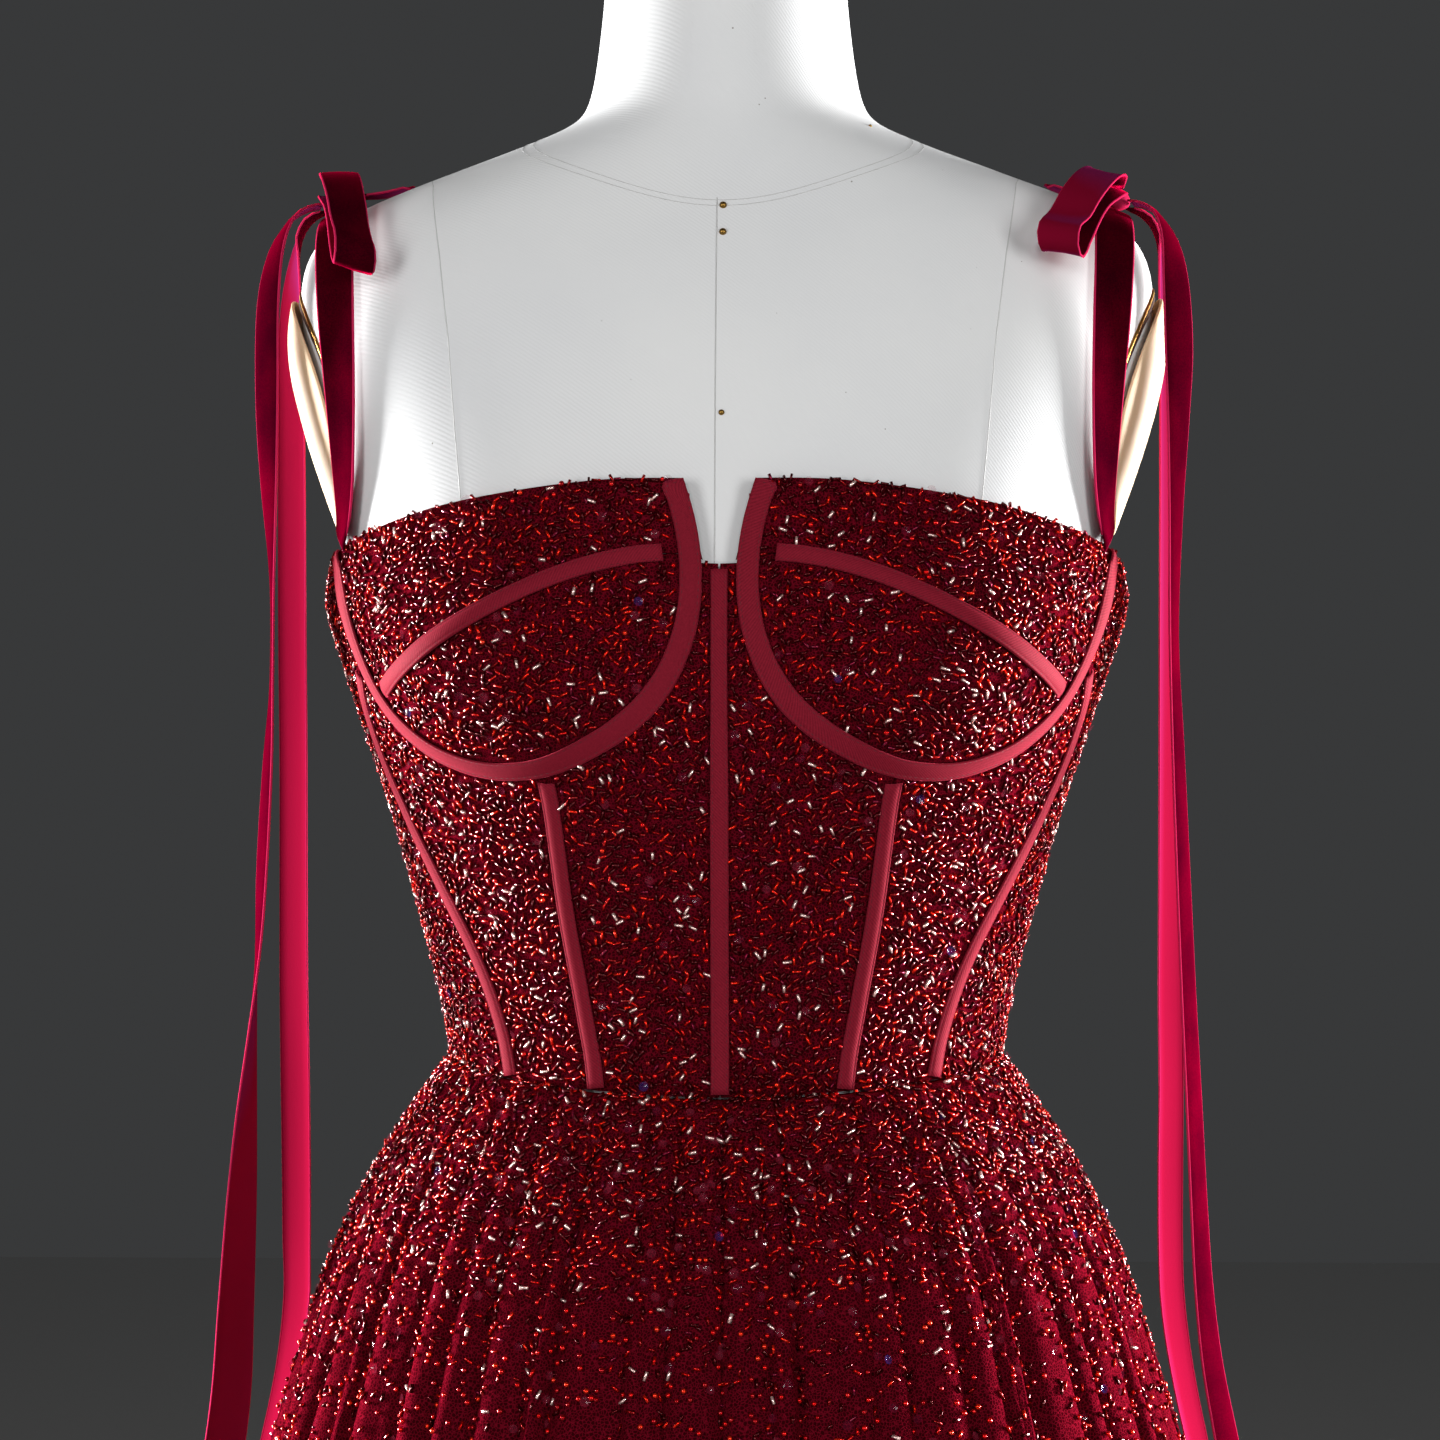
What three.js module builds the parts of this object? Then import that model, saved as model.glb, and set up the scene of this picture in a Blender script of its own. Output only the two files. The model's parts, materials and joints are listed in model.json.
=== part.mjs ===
// A-line evening gown with a boned, beaded bodice, a gathered skirt and velvet
// ribbon straps, on a limbless dress form with a round stand.
// Millimetres, +Z up. The gown's front faces -Y and the origin is on the floor
// under the stand's pole. Left and right are the wearer's: left is +X.
// Angles go round the figure in degrees, 0 at centre front, 90 at the left side.
import * as THREE from 'three';

// Driving dimensions
const FORM_CLEAR = 1.5;
const CLOTH_WALL = 2;
const SEAM_INSET = 0.3;
const TAPE_GAP = 0.7;
const TAPE_WALL = 1.1;
const WIRE_TAPE_WIDTH = 8;
const SEAM_TAPE_WIDTH = 6.5;
const SKIRT_FOLDS = 56;
const SKIRT_WALL = 2.3;
const SKIRT_SEAM_INSET = 0.08;
const WAIST_SIDE_HEIGHT = 1050;
const WAIST_FRONT_DIP = 7;
const WAIST_GAP = 0.5;
const RIBBON_WIDTH = 16;
const RIBBON_WALL = 1;
const KNOT = { x: 150, z: 1383.2, across: 8, deep: 7, high: 4.6, slope: 24 };
const POLE_RADIUS = 16;
const BASE_RADIUS = 172;
const BASE_HEIGHT = 30;
const FIT_GAP = 0.3;

// Cross-sections of the dress form from the stand up to the neck. Half is the
// half width, front and back are depths from the pole's axis, and square is the
// power of the rounded section, 2 for an ellipse.
const FORM_ROWS = [
  { z: 765, half: 146, front: 97, back: 101, square: 2.1 },
  { z: 800, half: 153, front: 103, back: 108, square: 2.1 },
  { z: 860, half: 157, front: 107, back: 113, square: 2.1 },
  { z: 900, half: 152, front: 106, back: 112, square: 2.1 },
  { z: 950, half: 137, front: 102, back: 105, square: 2.05 },
  { z: 990, half: 122, front: 97, back: 94, square: 2 },
  { z: 1025, half: 108, front: 90, back: 82, square: 2 },
  { z: 1050, half: 103.5, front: 87, back: 76, square: 2 },
  { z: 1075, half: 107, front: 88, back: 75, square: 2 },
  { z: 1110, half: 116, front: 92, back: 76, square: 2 },
  { z: 1150, half: 127, front: 96, back: 79, square: 2 },
  { z: 1180, half: 137, front: 98, back: 82, square: 2.05 },
  { z: 1210, half: 146, front: 98, back: 85, square: 2.1 },
  { z: 1240, half: 148, front: 96, back: 87, square: 2.2 },
  { z: 1270, half: 151, front: 93, back: 88, square: 2.25 },
  { z: 1300, half: 158, front: 88, back: 87, square: 2.3 },
  { z: 1330, half: 166, front: 80, back: 83, square: 2.3 },
  { z: 1350, half: 167, front: 73, back: 79, square: 2.25 },
  { z: 1364, half: 162, front: 67, back: 75, square: 2.2 },
  { z: 1374, half: 151, front: 63, back: 72, square: 2.15 },
  { z: 1382, half: 134, front: 60, back: 68, square: 2.1 },
  { z: 1392, half: 107, front: 57, back: 64, square: 2.05 },
  { z: 1402, half: 79, front: 54, back: 58, square: 2 },
  { z: 1410, half: 59, front: 52, back: 53, square: 2 },
  { z: 1418, half: 53.5, front: 51, back: 49, square: 2 },
  { z: 1432, half: 50.5, front: 50, back: 45, square: 2 },
  { z: 1460, half: 47.3, front: 49, back: 41, square: 2 },
  { z: 1490, half: 45.5, front: 47, back: 39, square: 2 },
];

// The cups round the chest: how far out, where, and how quickly it fades.
const CUP = { angle: 33, z: 1196, out: 19, spread: 21, above: 40, below: 27 };

// The bodice swells a little under the arm, where its top edge stands off.
const UNDERARM_SWELL = { angle: 92, z: 1226, out: 5, spread: 16, height: 13 };

// The bodice's top edge, from the notch at the front round to centre back.
const TOP_EDGE = [
  { angle: 3.7, z: 1267.5 },
  { angle: 12, z: 1267.5 },
  { angle: 20.5, z: 1265.5 },
  { angle: 30, z: 1262.5 },
  { angle: 40, z: 1259 },
  { angle: 49, z: 1255 },
  { angle: 60.5, z: 1250.5 },
  { angle: 75.5, z: 1245.2 },
];
const SIDE_TOP_EDGE = [
  { angle: 75.5, z: 1245.2 },
  { angle: 82, z: 1241 },
  { angle: 90, z: 1236 },
  { angle: 98, z: 1233 },
];
const BACK_TOP_EDGE = [
  { angle: 98, z: 1233 },
  { angle: 120, z: 1229 },
  { angle: 150, z: 1226 },
  { angle: 180, z: 1225 },
];

// The cup wire's line, down from the notch, under the cup and up to the strap.
const WIRE = [
  { angle: 5, z: 1267.5 },
  { angle: 3.8, z: 1253.5 },
  { angle: 3.2, z: 1240 },
  { angle: 3.4, z: 1224 },
  { angle: 4.7, z: 1209 },
  { angle: 7.5, z: 1194.5 },
  { angle: 11.6, z: 1183.3 },
  { angle: 18, z: 1173.5 },
  { angle: 27.5, z: 1165 },
  { angle: 37, z: 1163.7 },
  { angle: 46.5, z: 1169 },
  { angle: 54.2, z: 1178.5 },
  { angle: 60, z: 1190 },
  { angle: 65, z: 1206 },
  { angle: 69, z: 1220 },
  { angle: 72.5, z: 1233.5 },
  { angle: 75.5, z: 1245.2 },
];
// Rows of the wire's line where other seams and panel corners meet it.
const WIRE_AT = {
  cup_inner: 2,
  notch_foot: 2.2,
  low_inner: 4,
  princess: 8,
  low_outer: 10,
  cup_outer: 12,
  side: 13,
  strap: 16,
};
// The notch's edge, from its foot up to the top edge.
const NOTCH_EDGE = [
  { angle: 1.6, z: 1237.2 },
  { angle: 2.6, z: 1252.5 },
  { angle: 3.7, z: 1267.5 },
];

const CUP_SEAM = [
  { angle: 1.6, z: 1237.2 },
  { angle: 3.2, z: 1240 },
  { angle: 9, z: 1239.5 },
  { angle: 16, z: 1235.5 },
  { angle: 23, z: 1229 },
  { angle: 30, z: 1220.5 },
  { angle: 37.5, z: 1211 },
  { angle: 45, z: 1202.5 },
  { angle: 53, z: 1195.5 },
  { angle: 60, z: 1190 },
];
const CENTRE_SEAM = [
  { angle: 0, z: 1043 },
  { angle: 0, z: 1154 },
  { angle: 0, z: 1236.5 },
];
const PRINCESS_SEAM = [
  { angle: 25, z: 1044.6 },
  { angle: 27, z: 1078 },
  { angle: 28, z: 1108 },
  { angle: 28.2, z: 1140 },
  { angle: 27.5, z: 1165 },
];
const SIDE_FRONT_SEAM = [
  { angle: 46.7, z: 1046.6 },
  { angle: 50, z: 1076 },
  { angle: 54.5, z: 1100 },
  { angle: 60.5, z: 1121 },
  { angle: 67, z: 1143 },
  { angle: 71, z: 1165 },
  { angle: 70.5, z: 1187 },
  { angle: 65, z: 1206 },
];
const SIDE_SEAM = [
  { angle: 98, z: 1050 },
  { angle: 98, z: 1110 },
  { angle: 98, z: 1180 },
  { angle: 98, z: 1233 },
];
const BACK_SEAM = [
  { angle: 180, z: 1050 },
  { angle: 180, z: 1110 },
  { angle: 180, z: 1170 },
  { angle: 180, z: 1225 },
];

// The skirt's envelope round the fold ridges, and the folds' depth.
const SKIRT_ROWS = [
  { z: 12, half: 380, front: 380, back: 380, fold: 24 },
  { z: 400, half: 309, front: 308, back: 308, fold: 15 },
  { z: 760, half: 213, front: 207, back: 206, fold: 7.5 },
  { z: 930, half: 168.5, front: 157, back: 153, fold: 4.6 },
  { z: 980, half: 151, front: 137, back: 130, fold: 3.6 },
  { z: 1015, half: 132.5, front: 116, back: 107, fold: 2.8 },
  { z: 1035, half: 119, front: 102.5, back: 93, fold: 2 },
  { z: 1050, half: 108, front: 92.5, back: 81.5, fold: 1.2 },
];

// Ribbons. Turn is how far the ribbon's face is turned from the front, or from
// the back, towards the side, and tilt drops its outer edge, in degrees.
const FRONT_STRAP = [
  { x: 145.8, y: -33.5, z: 1247.4, turn: 72, tilt: 0 },
  { x: 144.5, y: -38.5, z: 1257, turn: 66, tilt: 0 },
  { x: 143.6, y: -44, z: 1270, turn: 56, tilt: 0 },
  { x: 143.6, y: -48, z: 1288, turn: 46, tilt: 0 },
  { x: 144.3, y: -50, z: 1310, turn: 35, tilt: 0 },
  { x: 145.5, y: -49.5, z: 1332, turn: 25, tilt: 0 },
  { x: 146.5, y: -45.5, z: 1348, turn: 19, tilt: 5 },
  { x: 147.3, y: -39.5, z: 1360.5, turn: 14, tilt: 10 },
  { x: 147.8, y: -31.5, z: 1369, turn: 9, tilt: 16 },
  { x: 148, y: -22, z: 1374.3, turn: 5, tilt: 20 },
  { x: 148, y: -12, z: 1377.1, turn: 2, tilt: 23 },
  { x: 148, y: -0.5, z: 1377.8, turn: 0, tilt: 24 },
];
const BACK_STRAP = [
  { x: 121.5, y: 55.5, z: 1229.6, turn: 50, tilt: 0 },
  { x: 125.5, y: 57, z: 1250, turn: 46, tilt: 0 },
  { x: 129.5, y: 58, z: 1270, turn: 40, tilt: 0 },
  { x: 134, y: 58.5, z: 1295, turn: 34, tilt: 0 },
  { x: 138.5, y: 57.5, z: 1320, turn: 28, tilt: 0 },
  { x: 142, y: 54.5, z: 1342, turn: 22, tilt: 4 },
  { x: 144.5, y: 48.5, z: 1358, turn: 16, tilt: 10 },
  { x: 146.5, y: 37, z: 1369, turn: 10, tilt: 16 },
  { x: 147.5, y: 24, z: 1374.6, turn: 5, tilt: 20 },
  { x: 148, y: 12, z: 1377.2, turn: 2, tilt: 23 },
  { x: 148, y: 0.5, z: 1377.8, turn: 0, tilt: 24 },
];
// The bow's loops and tails, as distances from the middle of the knot: out is
// away from the neck, back is towards the back. Turn is as above, and tilt
// drops the ribbon's outer edge.
const BOWS = {
  right: {
    front_loop: [
      { out: 0, back: -6.8, up: 3.2, turn: 0, tilt: 16 },
      { out: -1.5, back: -20, up: 6.5, turn: -8, tilt: 6 },
      { out: -5, back: -39, up: 2.5, turn: -18, tilt: -4 },
      { out: -9, back: -53, up: -8, turn: -24, tilt: -10 },
      { out: -11, back: -59, up: -16.5, turn: -26, tilt: -13 },
      { out: -12.5, back: -63, up: -21, turn: -26, tilt: -14 },
      { out: -14, back: -67.5, up: -25, turn: -26, tilt: -14 },
      { out: -14.5, back: -68.5, up: -30, turn: -26, tilt: -14 },
      { out: -13.5, back: -64.5, up: -34.5, turn: -26, tilt: -14 },
      { out: -12, back: -59.5, up: -34, turn: -26, tilt: -14 },
      { out: -10.5, back: -55, up: -28.5, turn: -26, tilt: -13 },
      { out: -7, back: -41, up: -11, turn: -16, tilt: -8 },
      { out: -2, back: -24, up: -1.5, turn: -6, tilt: 6 },
      { out: 0, back: -7.5, up: 0, turn: 0, tilt: 20 },
    ],
    back_loop: [
      { out: -7.5, back: 1.2, up: 4.5, turn: 90, tilt: 0 },
      { out: -13, back: 5, up: 8.4, turn: 90, tilt: 0 },
      { out: -19, back: 7, up: 10.2, turn: 90, tilt: 0 },
      { out: -25, back: 9, up: 9, turn: 90, tilt: 0 },
      { out: -27, back: 10, up: 6.6, turn: 90, tilt: 0 },
      { out: -24, back: 9.5, up: 5.4, turn: 90, tilt: 0 },
      { out: -17, back: 8, up: 3.6, turn: 90, tilt: 0 },
      { out: -7.9, back: 2.6, up: 1.7, turn: 90, tilt: 0 },
    ],
    tail_front: [
      { out: 6.5, back: -4.5, up: -2.9, turn: 90, tilt: 0 },
      { out: 14, back: -8.5, up: -5.5, turn: 84, tilt: 0 },
      { out: 21, back: -13, up: -14, turn: 68, tilt: 0 },
      { out: 25.5, back: -17, up: -35, turn: 50, tilt: 0 },
      { out: 26.5, back: -18, up: -78, turn: 48, tilt: 0 },
      { out: 26, back: -15, up: -120, turn: 62, tilt: 0 },
      { out: 25, back: -12, up: -170, turn: 82, tilt: 0 },
      { out: 27, back: -10, up: -210, turn: 70, tilt: 0 },
      { out: 30, back: -8, up: -260, turn: 67, tilt: 0 },
      { out: 32, back: -8, up: -300, turn: 78, tilt: 0 },
      { out: 35.5, back: -8, up: -345, turn: 104, tilt: 0 },
      { out: 37.5, back: -8, up: -380, turn: 124, tilt: 0 },
      { out: 40, back: -9, up: -430, turn: 142, tilt: 0 },
      { out: 43, back: -9, up: -475, turn: 160, tilt: 0 },
      { out: 51, back: -9, up: -520, turn: 166, tilt: 0 },
      { out: 63, back: -9, up: -570, turn: 172, tilt: 0 },
      { out: 84, back: -9, up: -655, turn: 172, tilt: 0 },
    ],
    tail_back: [
      { out: 6.5, back: 4.5, up: -2.9, turn: 90, tilt: 0 },
      { out: 14, back: 12, up: -6, turn: 90, tilt: 0 },
      { out: 20.5, back: 23, up: -15, turn: 74, tilt: 0 },
      { out: 25, back: 33, up: -40, turn: 50, tilt: 0 },
      { out: 26, back: 41, up: -80, turn: 40, tilt: 0 },
      { out: 26.5, back: 45, up: -150, turn: 36, tilt: 0 },
      { out: 26, back: 46, up: -230, turn: 37, tilt: 0 },
      { out: 26, back: 46, up: -300, turn: 36, tilt: 0 },
      { out: 25.5, back: 48, up: -360, turn: 34, tilt: 0 },
      { out: 26, back: 54, up: -410, turn: 36, tilt: 0 },
      { out: 28, back: 62, up: -450, turn: 42, tilt: 0 },
      { out: 38.5, back: 66, up: -500, turn: 50, tilt: 0 },
      { out: 54, back: 68, up: -560, turn: 54, tilt: 0 },
      { out: 77, back: 70, up: -645, turn: 56, tilt: 0 },
    ],
  },
  left: {
    front_loop: [
      { out: 0, back: -6.8, up: 3.2, turn: 0, tilt: 16 },
      { out: -3, back: -20, up: 6.5, turn: -6, tilt: 14 },
      { out: -10, back: -41, up: 1.5, turn: -14, tilt: 14 },
      { out: -17, back: -54, up: -8, turn: -18, tilt: 14 },
      { out: -20.5, back: -58.5, up: -14.5, turn: -20, tilt: 13 },
      { out: -23, back: -63, up: -17.5, turn: -20, tilt: 12 },
      { out: -25.5, back: -69, up: -20.5, turn: -20, tilt: 12 },
      { out: -26.5, back: -71, up: -26, turn: -20, tilt: 12 },
      { out: -25, back: -67, up: -30.5, turn: -20, tilt: 12 },
      { out: -23, back: -61.5, up: -30, turn: -20, tilt: 12 },
      { out: -20.5, back: -56, up: -24.5, turn: -20, tilt: 12 },
      { out: -13, back: -42, up: -9, turn: -14, tilt: 14 },
      { out: -4, back: -25, up: -0.5, turn: -4, tilt: 16 },
      { out: 0, back: -7.5, up: 0, turn: 0, tilt: 16 },
    ],
    back_loop: [
      { out: -7.5, back: 1.2, up: 4.5, turn: 90, tilt: 0 },
      { out: -13, back: 5, up: 8, turn: 90, tilt: 0 },
      { out: -18, back: 7, up: 9.6, turn: 90, tilt: 0 },
      { out: -23.5, back: 9, up: 8.6, turn: 90, tilt: 0 },
      { out: -25.5, back: 10, up: 6.4, turn: 90, tilt: 0 },
      { out: -22.5, back: 9.5, up: 5.2, turn: 90, tilt: 0 },
      { out: -16, back: 8, up: 3.4, turn: 90, tilt: 0 },
      { out: -7.9, back: 2.6, up: 1.7, turn: 90, tilt: 0 },
    ],
    tail_front: [
      { out: 6.5, back: -4.5, up: -2.9, turn: 90, tilt: 0 },
      { out: 13.5, back: -8.5, up: -5.5, turn: 82, tilt: 0 },
      { out: 19.5, back: -13.5, up: -14, turn: 66, tilt: 0 },
      { out: 22.5, back: -19, up: -35, turn: 46, tilt: 0 },
      { out: 23.5, back: -21, up: -70, turn: 46, tilt: 0 },
      { out: 23, back: -17, up: -110, turn: 62, tilt: 0 },
      { out: 22.5, back: -12, up: -170, turn: 72, tilt: 0 },
      { out: 25, back: -10, up: -230, turn: 66, tilt: 0 },
      { out: 28, back: -9, up: -300, turn: 64, tilt: 0 },
      { out: 30.5, back: -9, up: -350, turn: 62, tilt: 0 },
      { out: 33, back: -9, up: -400, turn: 60, tilt: 0 },
      { out: 36, back: -9, up: -440, turn: 56, tilt: 0 },
      { out: 43, back: -9, up: -480, turn: 50, tilt: 0 },
      { out: 51, back: -9, up: -520, turn: 40, tilt: 0 },
      { out: 63, back: -9, up: -570, turn: 30, tilt: 0 },
      { out: 84, back: -9, up: -655, turn: 24, tilt: 0 },
    ],
    tail_back: [
      { out: 6.5, back: 4.5, up: -2.9, turn: 90, tilt: 0 },
      { out: 14, back: 12, up: -6, turn: 90, tilt: 0 },
      { out: 20.5, back: 23, up: -15, turn: 76, tilt: 0 },
      { out: 24.5, back: 32, up: -40, turn: 60, tilt: 0 },
      { out: 26, back: 38, up: -80, turn: 56, tilt: 0 },
      { out: 26, back: 40, up: -150, turn: 56, tilt: 0 },
      { out: 26.5, back: 40, up: -230, turn: 50, tilt: 0 },
      { out: 27, back: 42, up: -300, turn: 46, tilt: 0 },
      { out: 27.5, back: 45, up: -360, turn: 46, tilt: 0 },
      { out: 28, back: 53, up: -410, turn: 46, tilt: 0 },
      { out: 31, back: 61, up: -450, turn: 48, tilt: 0 },
      { out: 41, back: 66, up: -500, turn: 52, tilt: 0 },
      { out: 55, back: 68, up: -560, turn: 54, tilt: 0 },
      { out: 77, back: 70, up: -640, turn: 56, tilt: 0 },
    ],
  },
};

// The oval plates that close the form's armholes, bowed outwards.
const ARM_PLATE = { y: 4, z: 1298, deep: 38, high: 47, gap: 0.9, wall: 1.2, dome: 7 };

// Colours and finishes
const FINISHES = {
  beaded_net: { color: '#8c0f1f', roughness: 0.45, metalness: 0 },
  boning_tape: { color: '#93243a', roughness: 0.55, metalness: 0 },
  velvet: { color: '#6d0a25', roughness: 0.8, metalness: 0 },
  linen: { color: '#dcdcda', roughness: 0.9, metalness: 0 },
  plate_cream: { color: '#d9c6a5', roughness: 0.5, metalness: 0 },
  steel: { color: '#b9bbbd', roughness: 0.35, metalness: 1 },
  cast_iron: { color: '#26272a', roughness: 0.5, metalness: 0.3 },
};

function finish(name) {
  return new THREE.MeshStandardMaterial({ name, ...FINISHES[name] });
}

// The value of one column between its rows, on a smooth curve through them.
function column(rows, key, z) {
  const last = rows.length - 1;
  const height = THREE.MathUtils.clamp(z, rows[0].z, rows[last].z);
  let low = 0;
  while (low < last - 1 && rows[low + 1].z < height) {
    low += 1;
  }
  const slope = (row) => {
    const above = Math.min(row + 1, last);
    const below = Math.max(row - 1, 0);
    const rise = (a, b) => (rows[b][key] - rows[a][key]) / (rows[b].z - rows[a].z);
    if (row === 0 || row === last) {
      return rise(below, above);
    }
    const gapBelow = rows[row].z - rows[below].z;
    const gapAbove = rows[above].z - rows[row].z;
    return (rise(below, row) * gapAbove + rise(row, above) * gapBelow) / (gapBelow + gapAbove);
  };
  const gap = rows[low + 1].z - rows[low].z;
  const s = (height - rows[low].z) / gap;
  return (2 * s ** 3 - 3 * s ** 2 + 1) * rows[low][key]
    + (s ** 3 - 2 * s ** 2 + s) * gap * slope(low)
    + (3 * s ** 2 - 2 * s ** 3) * rows[low + 1][key]
    + (s ** 3 - s ** 2) * gap * slope(low + 1);
}

function signedPower(value, power) {
  return Math.sign(value) * Math.abs(value) ** power;
}

// A point of the figure's skin, before anything is laid on it.
function skin(angle, z) {
  const turn = THREE.MathUtils.degToRad(angle);
  const half = column(FORM_ROWS, 'half', z);
  const depth = column(FORM_ROWS, Math.cos(turn) >= 0 ? 'front' : 'back', z);
  const power = 2 / column(FORM_ROWS, 'square', z);
  const fade = (z - CUP.z) / (z > CUP.z ? CUP.above : CUP.below);
  const aside = (Math.abs(angle) - CUP.angle) / CUP.spread;
  const cup = CUP.out * Math.exp(-(fade ** 2)) * Math.exp(-(aside ** 2));
  const across = Math.sin(turn) / half;
  const ahead = -Math.cos(turn) / depth;
  const length = Math.hypot(across, ahead);
  return new THREE.Vector3(
    half * signedPower(Math.sin(turn), power) + (cup * across) / length,
    -depth * signedPower(Math.cos(turn), power) + (cup * ahead) / length,
    z,
  );
}

function figurePoint(angle, z, out) {
  const round = skin(angle + 0.5, z).sub(skin(angle - 0.5, z));
  const up = skin(angle, z + 1).sub(skin(angle, z - 1));
  return skin(angle, z).addScaledVector(round.cross(up).normalize(), out);
}

// A point of the bodice, at a distance out from its own inner face.
function bodicePoint(angle, z, out) {
  const aside = (Math.abs(angle) - UNDERARM_SWELL.angle) / UNDERARM_SWELL.spread;
  const away = (z - UNDERARM_SWELL.z) / UNDERARM_SWELL.height;
  const swell = UNDERARM_SWELL.out * Math.exp(-(aside ** 2)) * Math.exp(-(away ** 2));
  return figurePoint(angle, z, FORM_CLEAR + swell + out);
}

// A seam or edge as a smooth line on the figure, in angle and height. The
// returned function takes 0 to 1 along the rows from first to last.
function line(rows, first = 0, last = rows.length - 1) {
  const curve = new THREE.CatmullRomCurve3(rows.map((row) => new THREE.Vector3(row.angle, row.z, 0)));
  const end = rows.length - 1;
  return (along) => {
    const point = curve.getPoint((first + (last - first) * along) / end);
    return { angle: point.x, z: point.y };
  };
}

function straight(from, to) {
  return (along) => ({
    angle: from.angle + (to.angle - from.angle) * along,
    z: from.z + (to.z - from.z) * along,
  });
}

function joined(first, second, share) {
  return (along) => (along < share ? first(along / share) : second((along - share) / (1 - share)));
}

// Fills four edges that meet at their corners with a smooth net of places.
function netBetween(edges, across, up) {
  const corner = {
    a: edges.bottom(0),
    b: edges.bottom(1),
    c: edges.top(0),
    d: edges.top(1),
  };
  const blend = (u, v, key) => (
    (1 - v) * edges.bottom(u)[key] + v * edges.top(u)[key]
    + (1 - u) * edges.left(v)[key] + u * edges.right(v)[key]
    - (1 - u) * (1 - v) * corner.a[key] - u * (1 - v) * corner.b[key]
    - (1 - u) * v * corner.c[key] - u * v * corner.d[key]
  );
  const net = [];
  for (let row = 0; row <= up; row += 1) {
    const places = [];
    for (let col = 0; col <= across; col += 1) {
      places.push({ angle: blend(col / across, row / up, 'angle'), z: blend(col / across, row / up, 'z') });
    }
    net.push(places);
  }
  return net;
}

// Draws a panel's edges in, so that neighbours stay apart at their seam.
function drawIn(net) {
  const shift = (place, towards) => {
    const from = bodicePoint(place.angle, place.z, 0);
    const share = SEAM_INSET / from.distanceTo(bodicePoint(towards.angle, towards.z, 0));
    return straight(place, towards)(Math.min(share, 0.5));
  };
  const rows = net.map((row) => {
    const end = row.length - 1;
    return row.map((place, col) => {
      if (col === 0) {
        return shift(place, row[1]);
      }
      return col === end ? shift(place, row[end - 1]) : place;
    });
  });
  const top = rows.length - 1;
  const first = rows[0].map((place, col) => shift(place, rows[1][col]));
  const final = rows[top].map((place, col) => shift(place, rows[top - 1][col]));
  return [first, ...rows.slice(1, top), final];
}

// A closed wall between two nets of points, inner and outer.
function wall(inner, outer) {
  const rows = inner.length;
  const cols = inner[0].length;
  const positions = [];
  [inner, outer].flat(2).forEach((point) => {
    positions.push(...point.toArray());
  });
  const faces = [];
  const at = (side, row, col) => side * rows * cols + row * cols + col;
  const quad = (a, b, c, d) => faces.push(a, b, c, a, c, d);
  for (let row = 0; row < rows - 1; row += 1) {
    for (let col = 0; col < cols - 1; col += 1) {
      quad(at(1, row, col), at(1, row, col + 1), at(1, row + 1, col + 1), at(1, row + 1, col));
      quad(at(0, row, col), at(0, row + 1, col), at(0, row + 1, col + 1), at(0, row, col + 1));
    }
  }
  for (let col = 0; col < cols - 1; col += 1) {
    quad(at(0, 0, col), at(0, 0, col + 1), at(1, 0, col + 1), at(1, 0, col));
    quad(at(1, rows - 1, col), at(1, rows - 1, col + 1), at(0, rows - 1, col + 1), at(0, rows - 1, col));
  }
  for (let row = 0; row < rows - 1; row += 1) {
    quad(at(1, row, 0), at(1, row + 1, 0), at(0, row + 1, 0), at(0, row, 0));
    quad(at(0, row, cols - 1), at(0, row + 1, cols - 1), at(1, row + 1, cols - 1), at(1, row, cols - 1));
  }
  return solid(positions, faces);
}

function solid(positions, faces) {
  const geometry = new THREE.BufferGeometry();
  geometry.setAttribute('position', new THREE.Float32BufferAttribute(positions, 3));
  geometry.setIndex(faces);
  geometry.computeVertexNormals();
  return geometry;
}

// The other side's copy of a geometry, with its faces still pointing out.
function mirrored(geometry) {
  const copy = geometry.clone();
  const place = copy.attributes.position;
  for (let i = 0; i < place.count; i += 1) {
    place.setX(i, -place.getX(i));
  }
  const faces = Array.from(geometry.index.array);
  for (let i = 0; i < faces.length; i += 3) {
    [faces[i + 1], faces[i + 2]] = [faces[i + 2], faces[i + 1]];
  }
  copy.setIndex(faces);
  copy.computeVertexNormals();
  return copy;
}

const gown = new THREE.Group();

function add(name, geometry, finishName) {
  const mesh = new THREE.Mesh(geometry, finish(finishName));
  mesh.name = name;
  gown.add(mesh);
}

function addPair(name, geometry, finishName) {
  add(`${name}_left`, geometry, finishName);
  add(`${name}_right`, mirrored(geometry), finishName);
}

// Height of the waist seam, a little lower at centre front.
function waistHeight(angle) {
  const front = Math.max(0, Math.cos(THREE.MathUtils.degToRad(angle)));
  return WAIST_SIDE_HEIGHT - WAIST_FRONT_DIP * front ** 2;
}

function waistLine(from, to) {
  return (along) => {
    const angle = from + (to - from) * along;
    return { angle, z: waistHeight(angle) };
  };
}

// Bodice panels, cut between their seams and wrapped on the figure
function panel(edges, across, up) {
  const net = drawIn(netBetween(edges, across, up));
  const layer = (out) => net.map((row) => row.map((place) => bodicePoint(place.angle, place.z, out)));
  return wall(layer(0), layer(CLOTH_WALL));
}

const SEAMS = {
  princess: line(PRINCESS_SEAM),
  side_front: line(SIDE_FRONT_SEAM),
  side: line(SIDE_SEAM),
  back: line(BACK_SEAM),
};
const last = (rows) => rows[rows.length - 1];
const wireBetween = (from, to) => line(WIRE, WIRE_AT[from], WIRE_AT[to]);

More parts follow.
